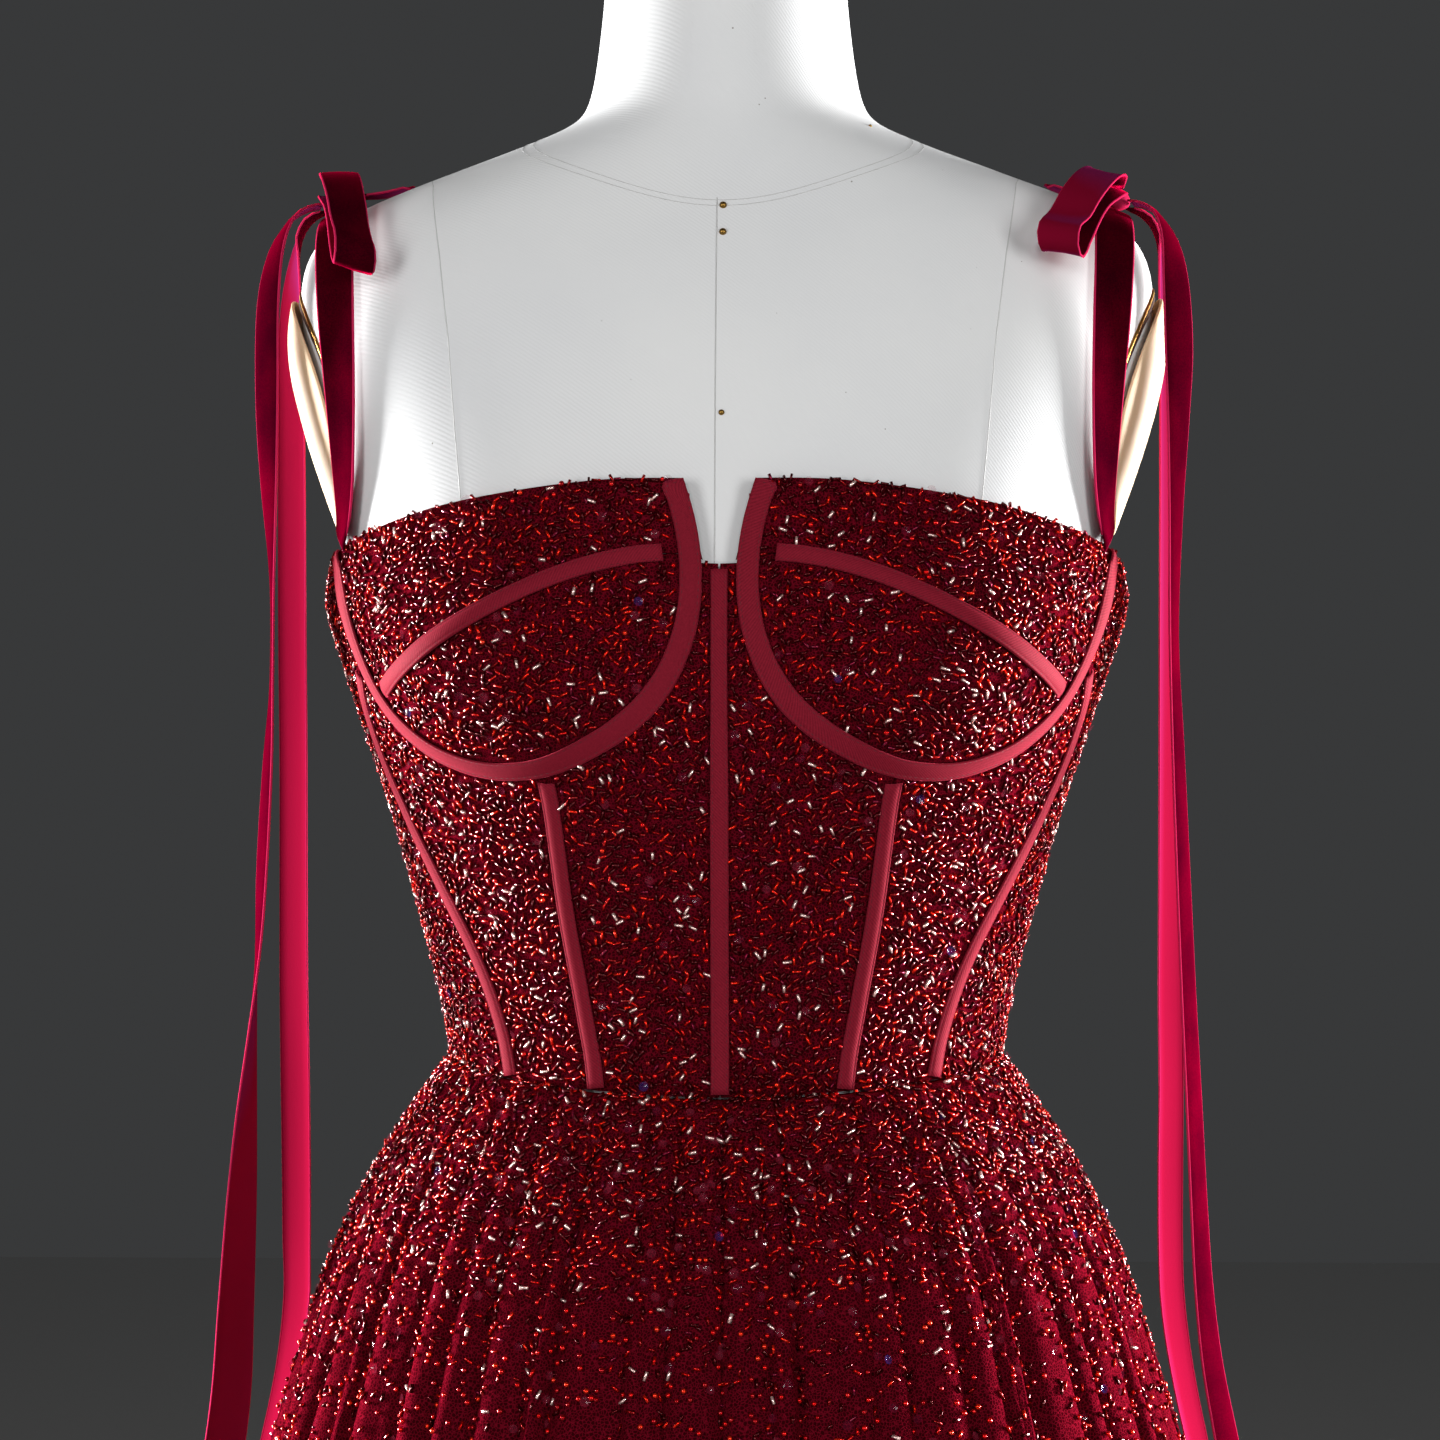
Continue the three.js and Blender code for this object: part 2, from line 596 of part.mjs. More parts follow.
addPair('cup_upper', panel({
  bottom: line(CUP_SEAM),
  top: line(TOP_EDGE),
  left: line(NOTCH_EDGE),
  right: wireBetween('cup_outer', 'strap'),
}, 12, 5), 'beaded_net');

addPair('cup_lower', panel({
  bottom: wireBetween('low_inner', 'low_outer'),
  top: line(CUP_SEAM, 1),
  left: wireBetween('low_inner', 'cup_inner'),
  right: wireBetween('low_outer', 'cup_outer'),
}, 12, 6), 'beaded_net');

// The centre panel narrows up to the notch's foot, along the cup wire.
const CENTRE_ROWS = { princess: 7, wire: 11 };
const centreRows = CENTRE_ROWS.princess + CENTRE_ROWS.wire;
const centreShare = CENTRE_ROWS.princess / centreRows;
const notchFoot = { angle: WIRE[2].angle, z: CENTRE_SEAM[2].z };
addPair('front_centre', panel({
  bottom: waistLine(0, PRINCESS_SEAM[0].angle),
  top: straight(CENTRE_SEAM[2], notchFoot),
  left: joined(
    straight(CENTRE_SEAM[0], CENTRE_SEAM[1]),
    straight(CENTRE_SEAM[1], CENTRE_SEAM[2]),
    centreShare,
  ),
  right: joined(SEAMS.princess, wireBetween('princess', 'notch_foot'), centreShare),
}, 6, centreRows), 'beaded_net');

// The side front and side panels share the rows of their seam.
const SIDE_ROWS = { seam: 13, wire: 4 };
const sideRows = SIDE_ROWS.seam + SIDE_ROWS.wire;
addPair('front_side', panel({
  bottom: waistLine(PRINCESS_SEAM[0].angle, SIDE_FRONT_SEAM[0].angle),
  top: wireBetween('princess', 'side'),
  left: SEAMS.princess,
  right: SEAMS.side_front,
}, 10, SIDE_ROWS.seam), 'beaded_net');

addPair('side', panel({
  bottom: waistLine(SIDE_FRONT_SEAM[0].angle, SIDE_SEAM[0].angle),
  top: line(SIDE_TOP_EDGE),
  left: joined(SEAMS.side_front, wireBetween('side', 'strap'), SIDE_ROWS.seam / sideRows),
  right: SEAMS.side,
}, 5, sideRows), 'beaded_net');

addPair('back', panel({
  bottom: waistLine(SIDE_SEAM[0].angle, 180),
  top: line(BACK_TOP_EDGE),
  left: SEAMS.side,
  right: SEAMS.back,
}, 8, 10), 'beaded_net');

// Boning tapes, laid on the panels along the seams. Each runs over a share of
// its seam, since it stops short of the edges and of the tapes that it meets.
const TAPE_LOOK = 0.004;
const TAPE_RUNS = {
  centre_front: { width: SEAM_TAPE_WIDTH, steps: 14, from: 0.006, to: 0.985 },
  cup_wire: { width: WIRE_TAPE_WIDTH, steps: 34, from: 0.006, to: 0.994 },
  cup_seam: { width: SEAM_TAPE_WIDTH, steps: 14, from: 0.075, to: 0.93 },
  princess: { width: SEAM_TAPE_WIDTH, steps: 10, from: 0.008, to: 0.94 },
  side_front: { width: SEAM_TAPE_WIDTH, steps: 14, from: 0.008, to: 0.945 },
};

function tape(path, { width, steps, from, to }) {
  const inner = [];
  const outer = [];
  for (let step = 0; step <= steps; step += 1) {
    const along = from + ((to - from) * step) / steps;
    const here = path(along);
    const ahead = path(Math.min(1, along + TAPE_LOOK));
    const behind = path(Math.max(0, along - TAPE_LOOK));
    const at = (angle, z) => bodicePoint(angle, z, 0);
    const run = at(ahead.angle, ahead.z).sub(at(behind.angle, behind.z)).normalize();
    const round = at(here.angle + 0.5, here.z).sub(at(here.angle - 0.5, here.z));
    const up = at(here.angle, here.z + 1).sub(at(here.angle, here.z - 1));
    const side = run.clone().cross(round.clone().cross(up).normalize());
    const turn = side.dot(round) / round.lengthSq();
    const rise = (side.dot(up) / up.lengthSq()) * 2;
    const edge = (reach, out) => bodicePoint(here.angle + turn * reach, here.z + rise * reach, out);
    const lift = (out) => [edge(-width / 2, out), edge(width / 2, out)];
    inner.push(lift(CLOTH_WALL + TAPE_GAP));
    outer.push(lift(CLOTH_WALL + TAPE_GAP + TAPE_WALL));
  }
  return wall(inner, outer);
}

add('tape_centre_front', tape(line(CENTRE_SEAM), TAPE_RUNS.centre_front), 'boning_tape');
addPair('tape_cup_wire', tape(line(WIRE), TAPE_RUNS.cup_wire), 'boning_tape');
addPair('tape_cup_seam', tape(line(CUP_SEAM, 1), TAPE_RUNS.cup_seam), 'boning_tape');
addPair('tape_princess', tape(SEAMS.princess, TAPE_RUNS.princess), 'boning_tape');
addPair('tape_side_front', tape(SEAMS.side_front, TAPE_RUNS.side_front), 'boning_tape');

// Skirt, gathered into the waist in uneven folds. Waves that go a whole number
// of turns round the skirt move the valleys, in folds, and vary their depth.
const VALLEY_WAVES = [
  { reach: 0.24, turns: 23, start: 0 },
  { reach: 0.14, turns: 45, start: 1 },
];
const DEPTH_WAVE = { middle: 0.82, reach: 0.18, turns: 33, start: 0.6 };
const RIDGE = [
  { across: 0.34, sink: 0 },
  { across: 0.7, sink: 0.1 },
];

function foldWave(fold, { reach, turns, start }) {
  return reach * Math.sin((2 * Math.PI * turns * fold) / SKIRT_FOLDS + start);
}

function foldValley(fold) {
  const uneven = VALLEY_WAVES.reduce((sum, wave) => sum + foldWave(fold, wave), 0);
  return ((fold + uneven) * 360) / SKIRT_FOLDS;
}

function foldDepth(fold) {
  return DEPTH_WAVE.middle + foldWave(fold, DEPTH_WAVE);
}

// A fold runs from its valley over a rounded ridge of two points to the next.
function skirtColumns(firstFold, folds) {
  const columns = [];
  const end = firstFold + folds;
  for (let fold = firstFold; fold < end; fold += 1) {
    const valley = foldValley(fold);
    const spread = foldValley(fold + 1) - valley;
    columns.push({ angle: valley, sink: foldDepth(fold) });
    RIDGE.forEach(({ across, sink }) => columns.push({ angle: valley + spread * across, sink }));
  }
  columns[0].angle += SKIRT_SEAM_INSET;
  columns.push({ angle: foldValley(end) - SKIRT_SEAM_INSET, sink: foldDepth(end) });
  return columns;
}

function skirtPoint(columnAt, z, out) {
  const turn = THREE.MathUtils.degToRad(columnAt.angle);
  const half = column(SKIRT_ROWS, 'half', z);
  const depth = column(SKIRT_ROWS, Math.cos(turn) >= 0 ? 'front' : 'back', z);
  const sink = column(SKIRT_ROWS, 'fold', z) * columnAt.sink;
  const reach = new THREE.Vector3(half * Math.sin(turn), -depth * Math.cos(turn), 0);
  reach.setLength(reach.length() - sink + out);
  return reach.setZ(z);
}

function skirtPiece(firstFold, folds) {
  const columns = skirtColumns(firstFold, folds);
  const rowHeight = (index, angle) => (
    index === SKIRT_ROWS.length - 1 ? waistHeight(angle) - WAIST_GAP : SKIRT_ROWS[index].z
  );
  const net = (out) => SKIRT_ROWS.map((row, index) => (
    columns.map((columnAt) => skirtPoint(columnAt, rowHeight(index, columnAt.angle), out))
  ));
  return wall(net(-SKIRT_WALL), net(0));
}

const QUARTER_FOLDS = SKIRT_FOLDS / 4;
add('skirt_front', skirtPiece(-QUARTER_FOLDS, 2 * QUARTER_FOLDS), 'beaded_net');
add('skirt_back_left', skirtPiece(QUARTER_FOLDS, QUARTER_FOLDS), 'beaded_net');
add('skirt_back_right', skirtPiece(2 * QUARTER_FOLDS, QUARTER_FOLDS), 'beaded_net');

// Velvet ribbons: a thin strip along a curve, its faces turned as it goes. The
// length of a place's side vector is the share of the full width there.
function ribbon(places, steps) {
  const curve = new THREE.CatmullRomCurve3(places.map((place) => place.point));
  const sides = new THREE.CatmullRomCurve3(places.map((place) => place.side));
  const inner = [];
  const outer = [];
  for (let step = 0; step <= steps; step += 1) {
    const along = step / steps;
    const middle = curve.getPoint(along);
    const run = curve.getTangent(along);
    const side = sides.getPoint(along);
    const reach = (RIBBON_WIDTH / 2) * side.length();
    side.addScaledVector(run, -side.dot(run)).normalize();
    const face = side.clone().cross(run);
    const pair = (out) => [-reach, reach].map((r) => (
      middle.clone().addScaledVector(side, r).addScaledVector(face, out)
    ));
    inner.push(pair(-RIBBON_WALL / 2));
    outer.push(pair(RIBBON_WALL / 2));
  }
  return wall(inner, outer);
}

function sideVector(turn, tilt) {
  const turned = THREE.MathUtils.degToRad(turn);
  const dropped = THREE.MathUtils.degToRad(tilt);
  return new THREE.Vector3(
    Math.cos(turned) * Math.cos(dropped),
    Math.sin(turned) * Math.cos(dropped),
    -Math.sin(dropped),
  );
}

function strapPlaces(rows, facing) {
  return rows.map((row) => ({
    point: new THREE.Vector3(row.x, row.y, row.z),
    side: sideVector(-facing * row.turn, row.tilt),
  }));
}

// The bow's ribbons are pinched to half their width where they enter the knot.
const PINCH = { near: 9, far: 24, share: 0.5 };

function bowPlaces(rows) {
  return rows.map((row) => {
    const away = THREE.MathUtils.clamp(Math.hypot(row.out, row.back, row.up), PINCH.near, PINCH.far);
    const width = THREE.MathUtils.mapLinear(away, PINCH.near, PINCH.far, PINCH.share, 1);
    return {
      point: new THREE.Vector3(KNOT.x + row.out, row.back, KNOT.z + row.up),
      side: sideVector(row.turn, row.tilt).multiplyScalar(width),
    };
  });
}

const SHORT_RIBBON_STEPS = 16;
const BOW_STEPS = { front_loop: 28, back_loop: 16, tail_front: 20, tail_back: 20 };
const KNOT_SIDES = { rings: 6, around: 12 };

function knotSolid() {
  const places = [];
  const faces = [];
  const { rings, around } = KNOT_SIDES;
  places.push(0, 0, -1);
  for (let ring = 1; ring < rings; ring += 1) {
    const rise = -Math.PI / 2 + (Math.PI * ring) / rings;
    for (let i = 0; i < around; i += 1) {
      const turn = (2 * Math.PI * i) / around;
      places.push(Math.cos(rise) * Math.cos(turn), Math.cos(rise) * Math.sin(turn), Math.sin(rise));
    }
  }
  places.push(0, 0, 1);
  const at = (ring, i) => 1 + (ring - 1) * around + (i % around);
  const topPoint = places.length / 3 - 1;
  for (let i = 0; i < around; i += 1) {
    faces.push(0, at(1, i + 1), at(1, i));
    for (let ring = 1; ring < rings - 1; ring += 1) {
      faces.push(at(ring, i), at(ring, i + 1), at(ring + 1, i + 1));
      faces.push(at(ring, i), at(ring + 1, i + 1), at(ring + 1, i));
    }
    faces.push(topPoint, at(rings - 1, i), at(rings - 1, i + 1));
  }
  return solid(places, faces)
    .scale(KNOT.across, KNOT.deep, KNOT.high)
    .rotateY(THREE.MathUtils.degToRad(KNOT.slope))
    .translate(KNOT.x, 0, KNOT.z);
}

addPair('strap_front', ribbon(strapPlaces(FRONT_STRAP, -1), SHORT_RIBBON_STEPS), 'velvet');
addPair('strap_back', ribbon(strapPlaces(BACK_STRAP, 1), SHORT_RIBBON_STEPS), 'velvet');
addPair('knot', knotSolid(), 'velvet');
Object.entries(BOWS).forEach(([side, bow]) => {
  Object.entries(bow).forEach(([name, rows]) => {
    const geometry = ribbon(bowPlaces(rows), BOW_STEPS[name]);
    add(`${name}_${side}`, side === 'left' ? geometry : mirrored(geometry), 'velvet');
  });
});

// Dress form: one smooth body up to the neck, a cap, and the armhole plates
const FORM_COLUMNS = 30;
const BUST_LEVELS = [1138, 1155, 1168, 1182, 1196, 1212];
const BUST_BAND = { low: 1130, high: 1220 };
const UNDER_CLOTH = { below: 1230, drawn: 0.8 };

function formBody() {
  const others = FORM_ROWS.map((row) => row.z).filter((z) => z < BUST_BAND.low || z > BUST_BAND.high);
  const levels = [...others, ...BUST_LEVELS].sort((a, b) => a - b);
  const places = [];
  const faces = [];
  levels.forEach((z) => {
    const drawn = z < UNDER_CLOTH.below ? UNDER_CLOTH.drawn : 0;
    for (let i = 0; i < FORM_COLUMNS; i += 1) {
      places.push(...figurePoint((i * 360) / FORM_COLUMNS - 180, z, -drawn).setZ(z).toArray());
    }
  });
  const at = (row, i) => row * FORM_COLUMNS + (i % FORM_COLUMNS);
  const foot = places.length / 3;
  places.push(0, 0, levels[0], 0, 0, last(levels));
  for (let i = 0; i < FORM_COLUMNS; i += 1) {
    for (let row = 0; row < levels.length - 1; row += 1) {
      faces.push(at(row, i), at(row, i + 1), at(row + 1, i + 1));
      faces.push(at(row, i), at(row + 1, i + 1), at(row + 1, i));
    }
    faces.push(foot, at(0, i + 1), at(0, i));
    faces.push(foot + 1, at(levels.length - 1, i), at(levels.length - 1, i + 1));
  }
  return solid(places, faces);
}

function armPlate() {
  const rings = [0.02, 0.4, 0.75, 1];
  const around = 18;
  const layer = (out, dome) => rings.map((ring) => {
    const points = [];
    for (let i = 0; i < around; i += 1) {
      const turn = (2 * Math.PI * i) / around;
      const y = ARM_PLATE.y + ARM_PLATE.deep * ring * Math.cos(turn);
      const z = ARM_PLATE.z + ARM_PLATE.high * ring * Math.sin(turn);
      const depth = column(FORM_ROWS, y < 0 ? 'front' : 'back', z);
      const square = column(FORM_ROWS, 'square', z);
      const half = column(FORM_ROWS, 'half', z) * (1 - (Math.abs(y) / depth) ** square) ** (1 / square);
      points.push(new THREE.Vector3(half + out + dome * (1 - ring ** 2), y, z));
    }
    return points;
  });
  const inner = layer(ARM_PLATE.gap, 0);
  const outer = layer(ARM_PLATE.gap + ARM_PLATE.wall, ARM_PLATE.dome);
  const shell = [...inner, ...outer.slice().reverse()];
  const places = shell.flat().flatMap((point) => point.toArray());
  const faces = [];
  const at = (ring, i) => ring * around + (i % around);
  for (let i = 0; i < around; i += 1) {
    for (let ring = 0; ring < shell.length - 1; ring += 1) {
      faces.push(at(ring, i), at(ring, i + 1), at(ring + 1, i + 1));
      faces.push(at(ring, i), at(ring + 1, i + 1), at(ring + 1, i));
    }
  }
  const middle = places.length / 3;
  const centre = (ring) => {
    const sum = new THREE.Vector3();
    ring.forEach((point) => sum.add(point));
    return sum.divideScalar(around);
  };
  places.push(...centre(shell[0]).toArray(), ...centre(last(shell)).toArray());
  for (let i = 0; i < around; i += 1) {
    faces.push(middle, at(0, i + 1), at(0, i));
    faces.push(middle + 1, at(shell.length - 1, i), at(shell.length - 1, i + 1));
  }
  return solid(places, faces);
}

// A solid turned about the pole's axis, from the radius and height of its steps.
function turned(profile, around) {
  const outline = profile.map((step) => new THREE.Vector2(step.r, step.z));
  return new THREE.LatheGeometry(outline, around).rotateX(Math.PI / 2);
}

const NECK_CAP = [
  { r: 0, z: 1490.3 },
  { r: 37, z: 1490.3 },
  { r: 38, z: 1492 },
  { r: 32, z: 1496 },
  { r: 18, z: 1499 },
  { r: 0, z: 1500 },
];
const POLE = [
  { r: 0, z: BASE_HEIGHT + FIT_GAP },
  { r: POLE_RADIUS, z: BASE_HEIGHT + FIT_GAP },
  { r: POLE_RADIUS, z: FORM_ROWS[0].z - FIT_GAP },
  { r: 0, z: FORM_ROWS[0].z - FIT_GAP },
];
const BASE = [
  { r: 0, z: 0 },
  { r: BASE_RADIUS - 3, z: 0 },
  { r: BASE_RADIUS, z: 3 },
  { r: BASE_RADIUS, z: 10 },
  { r: BASE_RADIUS - 8, z: 15 },
  { r: 60, z: 20 },
  { r: 26, z: BASE_HEIGHT - 2 },
  { r: 24, z: BASE_HEIGHT },
  { r: 0, z: BASE_HEIGHT },
];

add('form_body', formBody(), 'linen');
add('form_neck_cap', turned(NECK_CAP, 16), 'linen');
addPair('form_arm_plate', armPlate(), 'plate_cream');
add('stand_pole', turned(POLE, 16), 'steel');
add('stand_base', turned(BASE, 24), 'cast_iron');

export default gown;
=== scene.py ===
import json
import math

import bmesh
import bpy
import numpy as np
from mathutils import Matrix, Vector
from mathutils.bvhtree import BVHTree
from mathutils.kdtree import KDTree

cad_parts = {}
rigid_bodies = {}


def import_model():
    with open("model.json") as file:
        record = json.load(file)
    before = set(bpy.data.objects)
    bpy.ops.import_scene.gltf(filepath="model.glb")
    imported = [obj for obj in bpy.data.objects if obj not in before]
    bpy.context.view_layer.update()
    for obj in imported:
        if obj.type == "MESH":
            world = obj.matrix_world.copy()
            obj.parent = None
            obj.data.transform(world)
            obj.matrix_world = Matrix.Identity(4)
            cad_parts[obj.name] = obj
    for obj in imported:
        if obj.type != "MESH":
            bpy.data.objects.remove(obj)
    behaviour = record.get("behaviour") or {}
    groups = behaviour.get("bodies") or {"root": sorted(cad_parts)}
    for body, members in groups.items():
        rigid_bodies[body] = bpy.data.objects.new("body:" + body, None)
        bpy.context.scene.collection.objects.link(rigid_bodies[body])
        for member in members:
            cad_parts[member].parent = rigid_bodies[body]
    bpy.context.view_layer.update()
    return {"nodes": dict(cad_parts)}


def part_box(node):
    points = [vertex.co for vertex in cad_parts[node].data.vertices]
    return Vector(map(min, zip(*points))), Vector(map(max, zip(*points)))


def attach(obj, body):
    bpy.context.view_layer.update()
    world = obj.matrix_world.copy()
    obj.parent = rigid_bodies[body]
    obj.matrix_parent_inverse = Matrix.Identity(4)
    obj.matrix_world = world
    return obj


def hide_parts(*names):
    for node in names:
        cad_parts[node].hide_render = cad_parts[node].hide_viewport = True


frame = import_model()

# Camera
# Level with the bodice and 1.3 m in front of it, turned a little, as the
# photograph was taken.
CAMERA_PLACE = (0.0317, -1.2997, 1.1804)
CAMERA_TURN = math.radians(1.5)
CAMERA_LENS = 83.5

camera = bpy.data.objects.new("camera", bpy.data.cameras.new("camera"))
camera.data.lens = CAMERA_LENS
camera.data.sensor_width = 36
camera.location = CAMERA_PLACE
camera.rotation_euler = (math.radians(90), 0, CAMERA_TURN)
bpy.context.scene.collection.objects.link(camera)
bpy.context.scene.camera = camera


# Dress form body
# A limbless women's form: a padded shell covered in off-white cotton twill cut
# in panels, sewn together and stretched over it, with a seam round the neck.
SAME_PLACE = 1e-5
FLAT_JOIN = math.radians(75)
RIM_TURN = math.radians(50)
BODY_LEVELS = 2
LINEN_COLOUR = "#dddddc"
LINEN_SHADE = "#cfd0d2"
SPECK_COLOUR = "#8e8a86"
TWILL_PITCH = 0.0011
WAVE_IN_SPACE = 0.2 * math.pi / math.sqrt(3)
SPECK_PITCH = 0.007


def linear(hex_colour):
    """An sRGB hex colour as linear red, green and blue, with a full alpha."""
    parts = [int(hex_colour[i:i + 2], 16) / 255 for i in (1, 3, 5)]
    return [p / 12.92 if p <= 0.04045 else ((p + 0.055) / 1.055) ** 2.4 for p in parts] + [1.0]


def new_material(name):
    material = bpy.data.materials.new(name)
    material.use_nodes = True
    material.node_tree.nodes.clear()
    return material


def add_node(material, kind, settings=(), links=()):
    """Adds one node to a material, with its settings, and links its inputs from other nodes' sockets."""
    node = material.node_tree.nodes.new(kind)
    for name, value in dict(settings).items():
        if isinstance(name, int) or name in node.inputs:
            node.inputs[name].default_value = value
        else:
            setattr(node, name, value)
    for name, source in dict(links).items():
        material.node_tree.links.new(source, node.inputs[name])
    return node


def merged_copy(node):
    """A CAD node's solid as one closed mesh, its loose triangles joined into four-sided faces."""
    solid = bmesh.new()
    solid.from_mesh(frame["nodes"][node].data)
    bmesh.ops.remove_doubles(solid, verts=solid.verts, dist=SAME_PLACE)
    bmesh.ops.join_triangles(
        solid, faces=solid.faces, angle_face_threshold=FLAT_JOIN, angle_shape_threshold=FLAT_JOIN
    )
    return solid


def finished(name, mesh, materials, replaced=()):
    """Makes a piece of a bmesh, smooth all over, or of a mesh as it is, riding on the one body."""
    if isinstance(mesh, bmesh.types.BMesh):
        data = bpy.data.meshes.new(name)
        mesh.to_mesh(data)
        mesh.free()
        data.polygons.foreach_set("use_smooth", [True] * len(data.polygons))
    else:
        data = mesh
    piece = bpy.data.objects.new(name, data)
    bpy.context.scene.collection.objects.link(piece)
    for material in materials:
        data.materials.append(material)
    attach(piece, "root")
    if replaced:
        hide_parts(*replaced)
    return piece


def rounded(piece, levels):
    """Rounds a piece's faceted mesh."""
    smooth = piece.modifiers.new("smooth", "SUBSURF")
    smooth.levels = smooth.render_levels = levels
    return smooth


def live_mesh(thing):
    """A piece's or a curve's mesh as it is drawn."""
    return bpy.data.meshes.new_from_object(thing.evaluated_get(bpy.context.evaluated_depsgraph_get()))


# Cotton twill: matt, off-white, with fine diagonal ribs and dark specks of husk.
linen = new_material("cotton twill, woven")
place = add_node(linen, "ShaderNodeTexCoord").outputs["Object"]
ribs = add_node(
    linen, "ShaderNodeTexWave",
    {"wave_type": "BANDS", "bands_direction": "DIAGONAL", "Scale": WAVE_IN_SPACE / TWILL_PITCH,
     "Distortion": 0.6, "Detail": 1.0, "Detail Scale": 3.0},
    {"Vector": place},
).outputs["Fac"]
patches = add_node(
    linen, "ShaderNodeTexNoise", {"Scale": 14.0, "Detail": 3.0}, {"Vector": place}
).outputs["Fac"]
speck_cell = add_node(linen, "ShaderNodeTexVoronoi", {"Scale": 1 / SPECK_PITCH}, {"Vector": place})
speck_size = add_node(
    linen, "ShaderNodeMapRange", {1: 0.6, 2: 1.0, 3: 0.0, 4: 0.075}, {0: speck_cell.outputs["Color"]}
).outputs[0]
specks = add_node(
    linen, "ShaderNodeMath", {"operation": "LESS_THAN"}, {0: speck_cell.outputs["Distance"], 1: speck_size}
).outputs[0]
cloth_colour = add_node(
    linen, "ShaderNodeMix", {"data_type": "RGBA", 6: linear(LINEN_SHADE), 7: linear(LINEN_COLOUR)},
    {0: patches},
).outputs[2]
with_specks = add_node(
    linen, "ShaderNodeMix", {"data_type": "RGBA", 7: linear(SPECK_COLOUR)}, {0: specks, 6: cloth_colour}
).outputs[2]
weave_bump = add_node(
    linen, "ShaderNodeBump", {"Strength": 0.12, "Distance": 0.0003}, {"Height": ribs}
).outputs["Normal"]
linen_shader = add_node(
    linen, "ShaderNodeBsdfPrincipled",
    {"Roughness": 0.92, "Sheen Weight": 0.05, "Sheen Roughness": 0.5, "Specular IOR Level": 0.05},
    {"Base Color": with_specks, "Normal": weave_bump},
)
add_node(linen, "ShaderNodeOutputMaterial", {}, {"Surface": linen_shader.outputs[0]})

body = merged_copy("form_body")
crease = body.edges.layers.float.new("crease_edge")
for edge in body.edges:
    if edge.calc_face_angle(0) > RIM_TURN:
        edge[crease] = 1.0
form = finished("form_body_cloth", body, [linen], ["form_body"])
rounded(form, BODY_LEVELS)

body_shape = live_mesh(form)
body_skin = BVHTree.FromPolygons(
    [v.co for v in body_shape.vertices], [p.vertices for p in body_shape.polygons]
)

# Seams of the cover: a line down the middle and one over each breast, front
# and back, and two rows round the neck. Each is the place across and the height.
# Painted shade: the seam line's grey, darker than the cover, stands in for the shadow in a seam's groove.
SEAM_SHADE_GREY = "#bcbcbb"
SEAM_RADIUS = 0.00024
SEAM_POINTS = 60
TUBE_ROUNDNESS = 2
PRINCESS_LINE = (
    (0.114, 1.39), (0.111, 1.385), (0.1055, 1.354), (0.101, 1.321), (0.098, 1.287), (0.0955, 1.262),
    (0.093, 1.24), (0.09, 1.21),
)
CENTRE_LINE = ((-0.0018, 1.374), (-0.0018, 1.33), (-0.0018, 1.29), (-0.0018, 1.25), (-0.0018, 1.205))
PINS = ((0.0005, 1.371), (0.0005, 1.3605), (0.0005, 1.292), (0.0555, 1.406))
PIN_SIZE = (0.0014, 0.0014, 0.0011, 0.0007)
PIN_SIDES = 20
BRASS_COLOUR = "#8a6a34"
NECK_POINTS = 120
NECK_ROWS = ((0, "high"), (0.0022, "low"))
NECK_SEAM_RADIUS = SEAM_RADIUS * 0.7


def tube(points, radius, closed):
    """A round tube along points, as a mesh."""
    line = bpy.data.curves.new("tube", "CURVE")
    line.dimensions = "3D"
    line.bevel_depth = radius
    line.bevel_resolution = TUBE_ROUNDNESS
    line.use_fill_caps = not closed
    spline = line.splines.new("POLY")
    spline.points.add(len(points) - 1)
    for at, point in zip(spline.points, points):
        at.co = (*point, 1)
    spline.use_cyclic_u = closed
    holder = bpy.data.objects.new("tube", line)
    bpy.context.scene.collection.objects.link(holder)
    bpy.context.view_layer.update()
    made = live_mesh(holder)
    bpy.data.objects.remove(holder)
    return made


def on_body(x, z, ahead):
    """The place on the form's cloth at x and z, on its front where ahead is -1, or its back."""
    return body_skin.ray_cast(Vector((x, ahead * 0.5, z)), Vector((0, -ahead, 0)))[0]


def seam_places(line, side, ahead):
    """The places of a seam on the form's cloth, on one side of its middle."""
    heights = np.linspace(line[0][1], line[-1][1], SEAM_POINTS)
    known = sorted((z, x) for x, z in line)
    across = np.interp(heights, [z for z, _ in known], [x for _, x in known])
    found = [on_body(side * x, z, ahead) for x, z in zip(across, heights)]
    return [place for place in found if place]


# Seam thread: dull cotton, painted a little darker grey than the cover as painted shade for the shadow in
# the seam's groove, which shows a seam as a thin grey line.
seam_thread_shaded = new_material("thread, cotton seam")
thread_place = add_node(seam_thread_shaded, "ShaderNodeTexCoord").outputs["Object"]
thread_wave = add_node(
    seam_thread_shaded, "ShaderNodeTexNoise", {"Scale": 900.0}, {"Vector": thread_place}
).outputs["Fac"]
thread_bump = add_node(
    seam_thread_shaded, "ShaderNodeBump", {"Strength": 0.3, "Distance": 0.0002}, {"Height": thread_wave}
).outputs["Normal"]
thread_shader = add_node(
    seam_thread_shaded, "ShaderNodeBsdfPrincipled",
    {"Base Color": linear(SEAM_SHADE_GREY), "Roughness": 0.95, "Specular IOR Level": 0.1},
    {"Normal": thread_bump},
)
add_node(seam_thread_shaded, "ShaderNodeOutputMaterial", {}, {"Surface": thread_shader.outputs[0]})
for ahead, face in ((-1, "front"), (1, "back")):
    seam = tube(seam_places(CENTRE_LINE, 1, ahead), SEAM_RADIUS, False)
    finished(f"form_seam_centre_{face}", seam, [seam_thread_shaded])
    for side, word in ((1, "left"), (-1, "right")):
        seam = tube(seam_places(PRINCESS_LINE, side, ahead), SEAM_RADIUS, False)
        finished(f"form_seam_princess_{face}_{word}", seam, [seam_thread_shaded])
